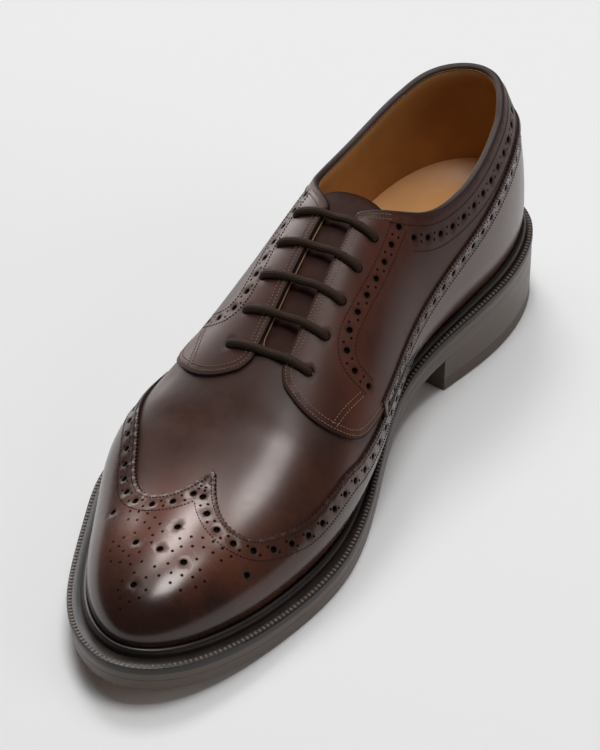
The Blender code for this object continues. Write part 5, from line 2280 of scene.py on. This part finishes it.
@dataclass
class SoleUnit:
    """Outsole, midsole, storm welt, insole, heel stack and top piece."""

    shop: Workshop
    points: int = 480
    step: float = 0.4
    press: float = 0.25
    edge_round: float = 0.9
    round_run: float = 20.0
    round_share: float = 0.3
    least_round: float = 0.03
    chamfer: float = 0.04
    plate_sharp: float = 40.0
    heel_taper: float = 1.0
    heel_gap: float = 0.03
    heel_sunk: float = 0.05
    heel_rings: int = 9
    heel_points: int = 60
    breast_points: int = 24
    heel_sharp: float = 35.0
    bead_height: float = 3.8
    bead_ebb: float = 0.5
    bead_width: float = 3.4
    bead_start: float = 1.1
    bead_sides: int = 9
    groove: float = 0.5
    groove_depth: float = 0.25
    ridge_pitch: float = 2.0
    ridge_inset: float = 1.25
    ridge_length: float = 2.0
    ridge_size: float = 1.1
    ridge_sunk: float = 0.08
    underlap: float = 3.0
    seat_inset: float = 0.9
    seat_lift: float = 0.1
    lining_depth: float = 1.86
    lip_heel: float = 6.5
    lip_toe: float = 1.0
    lip_reach: float = 13.0
    lip_start: float = 80.0
    lip_run: float = 60.0
    sock_sharp: float = 60.0
    cap_grid: float = 5.0

    WELT_ROUND = ((0.0, 0.9), (0.25, 0.3), (0.8, 0.0))
    TOP_SECTION = ((0.9, 0.0), (0.25, 0.3), (0.0, 1.0), (0.0, TOP_PIECE - 0.05), (0.04, TOP_PIECE))

    def __post_init__(self) -> None:
        """Read the sole's edge."""
        self.edge = SoleEdge(self.points)

    def build(self) -> None:
        """Make every layer of the sole."""
        ink = InkedEdge("sole edge").material()
        base = OUTSOLE + CLEARANCE
        self._plate("outsole", 0.0, OUTSOLE, self.edge_round, ink, "sole_leather")
        self._plate("midsole", base - self.press, base + MIDSOLE + self.press, self.chamfer, ink, "sole_edge")
        self._welt()
        self._insole()
        self._heel(ink)

    def _cap(self, draft: Draft, loop: Array, height: Reading, bare: float) -> None:
        """Close a plan loop with a lattice of triangles.

        Args:
            draft: Mesh that takes the triangles.
            loop: The plan.
            height: Height of the face over its plan.
            bare: 1 where the face is bare leather, else 0.
        """
        inner = lattice(loop, self.cap_grid)
        inner = inner[nearest(inner, loop) > 0.5 * self.cap_grid]
        edges = [(i, (i + 1) % len(loop)) for i in range(len(loop))]
        flat = [Vector(place) for place in join(loop, inner)]
        verts, _, faces, _, _, _ = delaunay_2d_cdt(flat, edges, [], 1, CDT_CLOSE)
        placed = np.array([v[:] for v in verts])
        draft.add(at_height(placed, height(placed)), faces, bare=bare)

    def _layer(self, loops: Sequence[Array], low: Reading, high: Reading, bare: float) -> Draft:
        """Close a stack of loops of the same count into one solid.

        Args:
            loops: The loops, from the bottom up.
            low: Height of the lower face over its plan.
            high: Height of the upper face over its plan.
            bare: 1 where the lower face is bare leather, else 0.

        Returns:
            The closed mesh.
        """
        draft = Draft()
        stacked = np.stack(loops, axis=1).reshape(-1, 3)
        draft.add(stacked, grid_faces(len(loops), len(loops[0]), closed=True), bare=0.0)
        self._cap(draft, loops[0][:, :2], low, bare)
        self._cap(draft, loops[-1][:, :2], high, 0.0)
        return draft

    def _edge_loop(self, inset: Any, height: Any) -> Array:
        """Return the sole's edge moved inwards, at a height over the sole's underside."""
        plan = self.edge.inset(inset)
        return at_height(plan, over_sole(height)(plan))

    def _plate(self, node: str, low: float, high: float, round_off: float, ink: Material, slot: str) -> None:
        """Make one full layer of the sole, with its lower edge rounded off ahead of the heel.

        Args:
            node: Node that the layer stands for.
            low: Height of its lower face over the sole's underside.
            high: Height of its upper face.
            round_off: How much of the lower edge is rounded off.
            ink: Its finish.
            slot: Material slot of the record.
        """
        ahead = ease((self.edge.loop[:, 0] - BREAST_LATERAL) / self.round_run)
        soft = self.least_round + round_off * ahead
        part = self.round_share * soft
        section = ((self.step + soft, low), (self.step + part, low + part),
                   (self.step, low + soft), (self.step, high - self.chamfer),
                   (self.step + self.chamfer, high))
        loops = [self._edge_loop(inset, height) for inset, height in section]
        draft = self._layer(loops, over_sole(low), over_sole(high), 1.0)
        self.shop.make(draft, node + "_leather", ink, self.plate_sharp, slot, node)

    def _bead(self) -> tuple[Array, Array, Array]:
        """Return the outer inset, the inner inset and the height of the welt's bead round the edge.

        Returns:
            Three numbers for each point of the edge.
        """
        rise = self.shop.last.rise(np.clip(self.edge.loop[:, 0], HEEL_POLE, TOE_POLE))
        slope = 2.0 * self.edge.overhang / rise
        height = self.bead_height * (1.0 - self.bead_ebb * np.minimum(slope, 1.0))
        end = self.edge.ledge - CLEARANCE - slope * height
        return np.maximum(end - self.bead_width, self.bead_start), end, height

    def _welt(self) -> None:
        """Make the storm welt with its bead and its wheeled ridges."""
        start, end, bead = self._bead()
        inside = self.edge.ledge + self.underlap
        section = [(0.0, 0.0), *((inset, WELT - drop) for inset, drop in self.WELT_ROUND),
                   (start - self.groove, WELT), (start, WELT - self.groove_depth)]
        for turn in np.arange(1, self.bead_sides) * math.pi / self.bead_sides:
            inset = 0.5 * (start + end) - 0.5 * (end - start) * math.cos(turn)
            section.append((inset, WELT + bead * math.sin(turn)))
        section += [(end, WELT), (inside, WELT), (inside, 0.0), section[0]]
        loops = [self._edge_loop(inset, EDGE - WELT + height) for inset, height in section]
        draft = Draft()
        draft.add(np.stack(loops, axis=1).reshape(-1, 3), grid_faces(len(loops), self.points, closed=True),
                  bare=0.0)
        ink = InkedEdge("welt leather", ink=(0.012, 0.0077, 0.006), worn=(0.03, 0.0195, 0.015), roughness=0.4)
        self.shop.make(draft, "storm_welt", ink.material(), self.plate_sharp, "welt", "welt")
        self._ridges()

    def _ridges(self) -> None:
        """Lay the wheel's ridges along the outer edge of the welt."""
        loop = self._edge_loop(self.ridge_inset, EDGE - self.ridge_sunk)
        loop = join(loop, loop[:1])
        out = np.tile((0.0, 0.0, 1.0), (len(loop), 1))
        mesh = self.shop.path_mesh("ridge_path", [(loop, out)])
        worn = InkedEdge("welt ridges", ink=(0.12, 0.085, 0.07), worn=(0.3, 0.225, 0.19), roughness=0.45)
        sizes = {"Pitch": self.ridge_pitch, "Length": self.ridge_size, "Width": self.ridge_length,
                 "Height": self.ridge_size}
        self.shop.dress(self.shop.stitch.run("welt_ridges", mesh, worn.material(), sizes), "welt")

    def _lip(self, along: Array) -> Array:
        """Return how far the sock's rim rises up the lining."""
        share = 1.0 - ease((along - self.lip_start) / self.lip_run)
        return self.lip_toe + (self.lip_heel - self.lip_toe) * share

    def _insole(self) -> None:
        """Make the insole with its covering sock, dished up to the lining."""
        last = self.shop.last
        ribs = self.shop.pattern.ribs_round()
        foot, turn, side = ribs.T
        radius = last.profile(*ribs.T)[0][:, -1] - self.underlap - self.seat_inset
        seat = rows_of(foot + turn * radius, last.crest_across(foot) + side * radius)
        girth = last.girth_at(ribs, insole_top(seat[:, 0]) + self._lip(seat[:, 0]))
        rim = last.place(down_ribs(ribs, girth), -self.lining_depth)[:, :2]
        low = over_sole(OUTSOLE + MIDSOLE + 2 * CLEARANCE + self.seat_lift)

        def dished(places: Array) -> Array:
            """Return the sock's height, which rises to its rim."""
            share = 1.0 - ease(nearest(places, rim) / self.lip_reach)
            return insole_top(places[:, 0]) + self._lip(places[:, 0]) * share

        draft = self._layer([at_height(seat, low(seat)), at_height(rim, dished(rim))], low, dished, 0.0)
        sock = LiningCalf("insole leather", pale=(0.74, 0.4, 0.16), deep=(0.62, 0.31, 0.11), roughness=0.4)
        self.shop.make(draft, "insole_sock", sock.material(), self.sock_sharp, "insole_leather", "insole")

    def _heel_loop(self, inset: float) -> Array:
        """Return the heel's plan: the sole edge behind a breast that slants.

        Args:
            inset: How far the plan lies inside the sole's edge.

        Returns:
            The closed loop.
        """
        plan = Plan(self.edge.inset(inset))
        centre = 0.5 * (BREAST_MEDIAL + BREAST_LATERAL)
        slant = 0.5 * (BREAST_MEDIAL - BREAST_LATERAL)
        back = float(plan.loop[:, 0].min())
        share = 1.0 - np.cos(np.linspace(0.0, QUARTER_TURN, self.heel_points))
        sides = []
        for side in SIDES:
            along = back + (centre - back) * share + side * slant * share ** 3
            sides.append(rows_of(along, plan.across(along, side)))
        across = np.linspace(0.0, 1.0, self.breast_points)[1:-1, None]
        breast = sides[0][-1] + (sides[1][-1] - sides[0][-1]) * across
        return join(sides[0], breast, sides[1][::-1][:-1])

    def _heel(self, ink: Material) -> None:
        """Make the heel stack, its lifts pressed and inked into one face, and the top piece.

        Args:
            ink: Finish of the stack.
        """
        foot = TOP_PIECE + self.heel_gap
        ceiling = over_sole(self.heel_sunk)
        loops = []
        for share in np.linspace(0.0, 1.0, self.heel_rings):
            plan = self._heel_loop(self.heel_taper + (self.step - self.heel_taper) * share)
            loops.append(at_height(plan, foot + (ceiling(plan) - foot) * share))
        lifts = self._layer(loops, level(foot), ceiling, 0.0)
        self.shop.make(lifts, "heel_lifts", ink, self.heel_sharp, "heel_leather", "heel_stack")
        loops = [at_height(self._heel_loop(self.heel_taper + inset), height)
                 for inset, height in self.TOP_SECTION]
        worn = self._layer(loops, level(0.0), level(TOP_PIECE), 1.0)
        rubber = TopRubber("heel top piece").material()
        self.shop.make(worn, "heel_top_layer", rubber, self.heel_sharp, "top_piece", "heel_top_piece")


@dataclass
class Lace:
    """One lace in straight bars, whose two ends stop under the top eyelets."""

    shop: Workshop
    overlays: Overlays
    radius: float = 1.65
    under: float = -2.2
    flat: float = 0.34
    spread: float = 1.9
    hidden_from: float = 0.2
    hidden_run: float = 2.0
    sides: int = 12
    points: int = 900
    least_step: float = 0.02
    bend: float = 2.2
    sharp: float = 80.0

    BAR_SHARES = (0.0, 0.0, 0.05, 0.16, 0.33, 0.5, 0.67, 0.84, 0.95, 1.0, 1.0)
    BAR_LIFTS = (-1.0, 1.1, 2.1, 2.3, 1.9, 0.7, 1.9, 2.3, 2.1, 1.1, -1.0)
    RUNS = ((0, 4, 2.6), (4, 3, 0.0), (3, 2, -2.0), (2, 1, 0.0))
    FIRST_END = (2.0, -3.0)
    LAST_END = (4.0, -2.0)

    def build(self) -> None:
        """Make the lace."""
        layout = curve_through(self._route(), self.points)
        path = self.shop.last.place(layout[:, :2], layout[:, 2])
        keep = join([True], np.diff(walked(path)) > self.least_step)
        path, lift = path[keep], layout[keep, 2]
        tangent = unit(np.gradient(path, axis=0))
        one = self._carried(tangent)
        hidden = ease((self.hidden_from - lift) / self.hidden_run)
        wide = self.radius + (self.spread - self.radius) * hidden
        thin = self.radius + (self.flat - self.radius) * hidden
        points, faces, turn = sweep(path, one, np.cross(tangent, one), wide, thin, self.sides)
        draft = Draft()
        draft.add(points, faces, turn=turn, run=np.repeat(walked(path), self.sides))
        bars = [f"lace_bar_{number}" for number in range(1, self.overlays.eyelets + 1)]
        self.shop.make(draft, "lace", WaxedCord("lace cord").material(), self.sharp, "lace", *bars)

    def _bar(self, start: Array, stop: Array) -> list[tuple[float, ...]]:
        """Return the route of one bar: up through an eyelet, across and down the other."""
        bar = zip(self.BAR_SHARES, self.BAR_LIFTS)
        return [(*(start + (stop - start) * share), lift) for share, lift in bar]

    def _run(self, start: Array, stop: Array, beside: float) -> list[tuple[float, ...]]:
        """Return the route of a hidden stretch under one facing.

        Args:
            start: Eyelet that it comes from.
            stop: Eyelet that it goes to.
            beside: How far it lies beside the eyelets, in girth.

        Returns:
            Layout points with a height over the last.
        """
        step = self.bend * np.sign(stop[0] - start[0])
        along = (start[0] + step, 0.5 * (start[0] + stop[0]), stop[0] - step)
        return [(place, start[1] + beside, self.under) for place in along]

    def _route(self) -> Array:
        """Return the lace's route as layout points with a height over the last.

        Returns:
            One row for each point of the route.
        """
        here, there = (self.overlays.eyelet_places(side) for side in SIDES)
        route: list[tuple[float, ...]] = [(*(here[0] + self.FIRST_END), self.under)]
        for row, following, beside in self.RUNS:
            route += self._bar(here[row], there[row])
            route += self._run(there[row], there[following], beside)
            here, there = there, here
        route += self._bar(here[1], there[1])
        side_step = self.LAST_END[1]
        route.append((there[1][0] - self.bend, there[1][1] + side_step, self.under))
        route.append((*(there[0] + self.LAST_END), self.under))
        return np.array(route)

    @staticmethod
    def _carried(tangent: Array) -> Array:
        """Return a direction across the path that is carried along it without twist.

        Args:
            tangent: Directions of the path.

        Returns:
            One direction for each point.
        """
        one = [unit(np.cross(tangent[0], (0.0, 0.0, 1.0)))]
        for before, after in zip(tangent[:-1], tangent[1:]):
            axis = np.cross(before, after)
            size = float(np.linalg.norm(axis))
            if size < TINY:
                one.append(one[-1])
                continue
            turn = Matrix.Rotation(math.atan2(size, float(before @ after)), 3, Vector(axis / size))
            moved = np.array(turn @ Vector(one[-1]))
            one.append(unit(moved - after * float(moved @ after)))
        return np.array(one)


@dataclass
class Needlework:
    """The stitches and punched holes that the other sub-assemblies marked."""

    shop: Workshop
    pitch: float = 1.4
    length: float = 1.05
    width: float = 0.45
    height: float = 0.4
    lift: float = 0.1
    disc_depth: float = 0.07

    def build(self) -> None:
        """Lay every stitch and every punched disc."""
        shop = self.shop
        threads = {
            Thread.DARK: SewingThread("dark thread", (0.010, 0.0062, 0.005), (0.030, 0.018, 0.014)),
            Thread.TAN: SewingThread("tan thread", (0.15, 0.095, 0.06), (0.3, 0.2, 0.135)),
        }
        sizes = {"Pitch": self.pitch, "Length": self.length, "Width": self.width, "Height": self.height}
        for thread, rows in shop.seams.items():
            paths = [self._raised(layout, height, self.lift) for layout, height in rows]
            mesh = shop.path_mesh(thread.value + "_paths", paths)
            material = threads[thread].material()
            shop.dress(shop.stitch.run(thread.value + "_stitches", mesh, material, sizes), "quarter_leather")
        # Every hole and pinhole gets a dark disc of painted shade.
        dark = PaintedHoleShade("punched dark").material()
        radii = sorted({radius for _, radius, _ in shop.cups})
        for name, radius in zip(("pinholes", "punched_holes"), radii):
            cups = [cup for cup in shop.cups if cup[1] == radius]
            paths = [self._raised(layout, height, 0.0) for layout, _, height in cups]
            mesh = shop.path_mesh("punch_points", paths, joined=False)
            sizes = {"Radius": radius, "Depth": self.disc_depth}
            shop.dress(shop.punch.run(name, mesh, dark, sizes), "wing_leather")

    def _raised(self, layout: Array, height: Reading, lift: float) -> tuple[Array, Array]:
        """Return places and outward directions of layout points, lifted over a height."""
        spot = self.shop.last.read(layout)
        return spot.point + spot.normal * (height(layout) + lift)[:, None], spot.normal


@dataclass
class Studio:
    """Pale floor, soft light and the camera at the photograph's angle."""

    azimuth: float = 30.91
    elevation: float = 43.23
    roll: float = -1.3
    position: tuple[float, float, float] = (0.3946, -0.5701, 0.5886)
    focal_pixels: float = 1204.4
    frame_pixels: tuple[int, int] = (600, 750)
    shoe_pixel: tuple[float, float] = (234.0, 279.0)
    zoom: float = 1.86
    sensor: float = 36.0
    floor_half: float = 4.0
    surround: float = 0.05
    clip_start: float = 0.05
    aim: tuple[float, float, float] = (0.0, 0.0, 0.03)

    class SoftBox(NamedTuple):
        """One square light: its place, width and watts, and whether gloss and matt surfaces show it."""

        name: str
        place: tuple[float, float, float]
        size: float
        power: float
        mirrored: bool = True
        shining: bool = True

    BOXES = (SoftBox("top", (0.2, 0.1, 2.1), 0.68, 17.0),
             SoftBox("key", (-0.96, 0.98, 2.2), 0.7, 16.0),
             SoftBox("halo", (-0.62, 0.4, 1.9), 1.3, 5.5),
             SoftBox("side", (-0.5, 0.31, 0.22), 0.36, 1.8, True, False),
             SoftBox("fill", (1.6, 0.2, 0.8), 1.2, 4.5, False),
             SoftBox("wash", (0.0, 0.8, 2.2), 1.8, 11.0, False))

    def build(self) -> None:
        """Set up floor, lights and camera."""
        self._floor()
        self._lights()
        self._camera()

    def _floor(self) -> None:
        """Lay the floor."""
        mesh = bpy.data.meshes.new("pale_floor")
        h = self.floor_half
        mesh.from_pydata([(-h, -h, 0.0), (h, -h, 0.0), (h, h, 0.0), (-h, h, 0.0)], [], [(0, 1, 2, 3)])
        mesh.materials.append(PaleFloor().material())
        floor = bpy.data.objects.new("pale_floor", mesh)
        bpy.context.scene.collection.objects.link(floor)

    def _lights(self) -> None:
        """Hang the soft boxes and the even surround."""
        world = bpy.data.worlds.new("surround")
        world.use_nodes = True
        surround = world.node_tree.nodes["Background"]
        surround.inputs["Color"].default_value = (1.0, 1.0, 1.0, 1.0)
        surround.inputs["Strength"].default_value = self.surround
        bpy.context.scene.world = world
        bpy.context.scene.view_settings.view_transform = "Standard"
        for box in self.BOXES:
            light = bpy.data.lights.new(box.name, "AREA")
            light.shape = "SQUARE"
            light.size = box.size
            light.energy = box.power
            lamp = bpy.data.objects.new(box.name, light)
            lamp.location = box.place
            lamp.visible_glossy = box.mirrored
            lamp.visible_diffuse = box.shining
            towards = Vector(self.aim) - lamp.location
            lamp.rotation_euler = towards.to_track_quat("-Z", "Y").to_euler()
            bpy.context.scene.collection.objects.link(lamp)

    def _camera(self) -> None:
        """Stand the camera where the photograph was taken, turned to the one shoe."""
        az, el, roll = (math.radians(v) for v in (self.azimuth, self.elevation, self.roll))
        back = np.array([math.sin(az) * math.cos(el), -math.cos(az) * math.cos(el), math.sin(el)])
        sideways = np.array([math.cos(az), math.sin(az), 0.0])
        upright = np.cross(back, sideways)
        right = math.cos(roll) * sideways + math.sin(roll) * upright
        up = -math.sin(roll) * sideways + math.cos(roll) * upright
        offset = np.array(self.shoe_pixel) - 0.5 * np.array(self.frame_pixels)
        towards = -back * self.focal_pixels + right * offset[0] - up * offset[1]
        back = -towards / np.linalg.norm(towards)
        right = unit(right - back * float(right @ back))
        up = np.cross(back, right)
        camera = bpy.data.cameras.new("camera")
        camera.sensor_fit = "AUTO"
        camera.sensor_width = self.sensor
        camera.lens = self.focal_pixels * self.zoom / max(self.frame_pixels) * self.sensor
        camera.clip_start = self.clip_start
        stand = bpy.data.objects.new("camera", camera)
        stand.matrix_world = Matrix(((right[0], up[0], back[0], self.position[0]),
                                     (right[1], up[1], back[1], self.position[1]),
                                     (right[2], up[2], back[2], self.position[2]),
                                     (0.0, 0.0, 0.0, 1.0)))
        bpy.context.scene.collection.objects.link(stand)
        bpy.context.scene.camera = stand


def main() -> None:
    """Build and dress every sub-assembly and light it."""
    logging.basicConfig(level=logging.INFO, format="%(message)s")
    last = Last()
    pattern = Pattern(last)
    shop = Workshop(last, pattern, Patina(pattern), StitchTree(), PunchTree())
    Studio().build()
    SoleUnit(shop).build()
    ShellUpper(shop).build()
    overlays = Overlays(shop)
    overlays.build()
    Tongue(shop).build()
    Lace(shop, overlays).build()
    Needlework(shop).build()
    LOG.info("pieces: %d", len(shop.pieces))


if __name__ == "__main__":
    main()
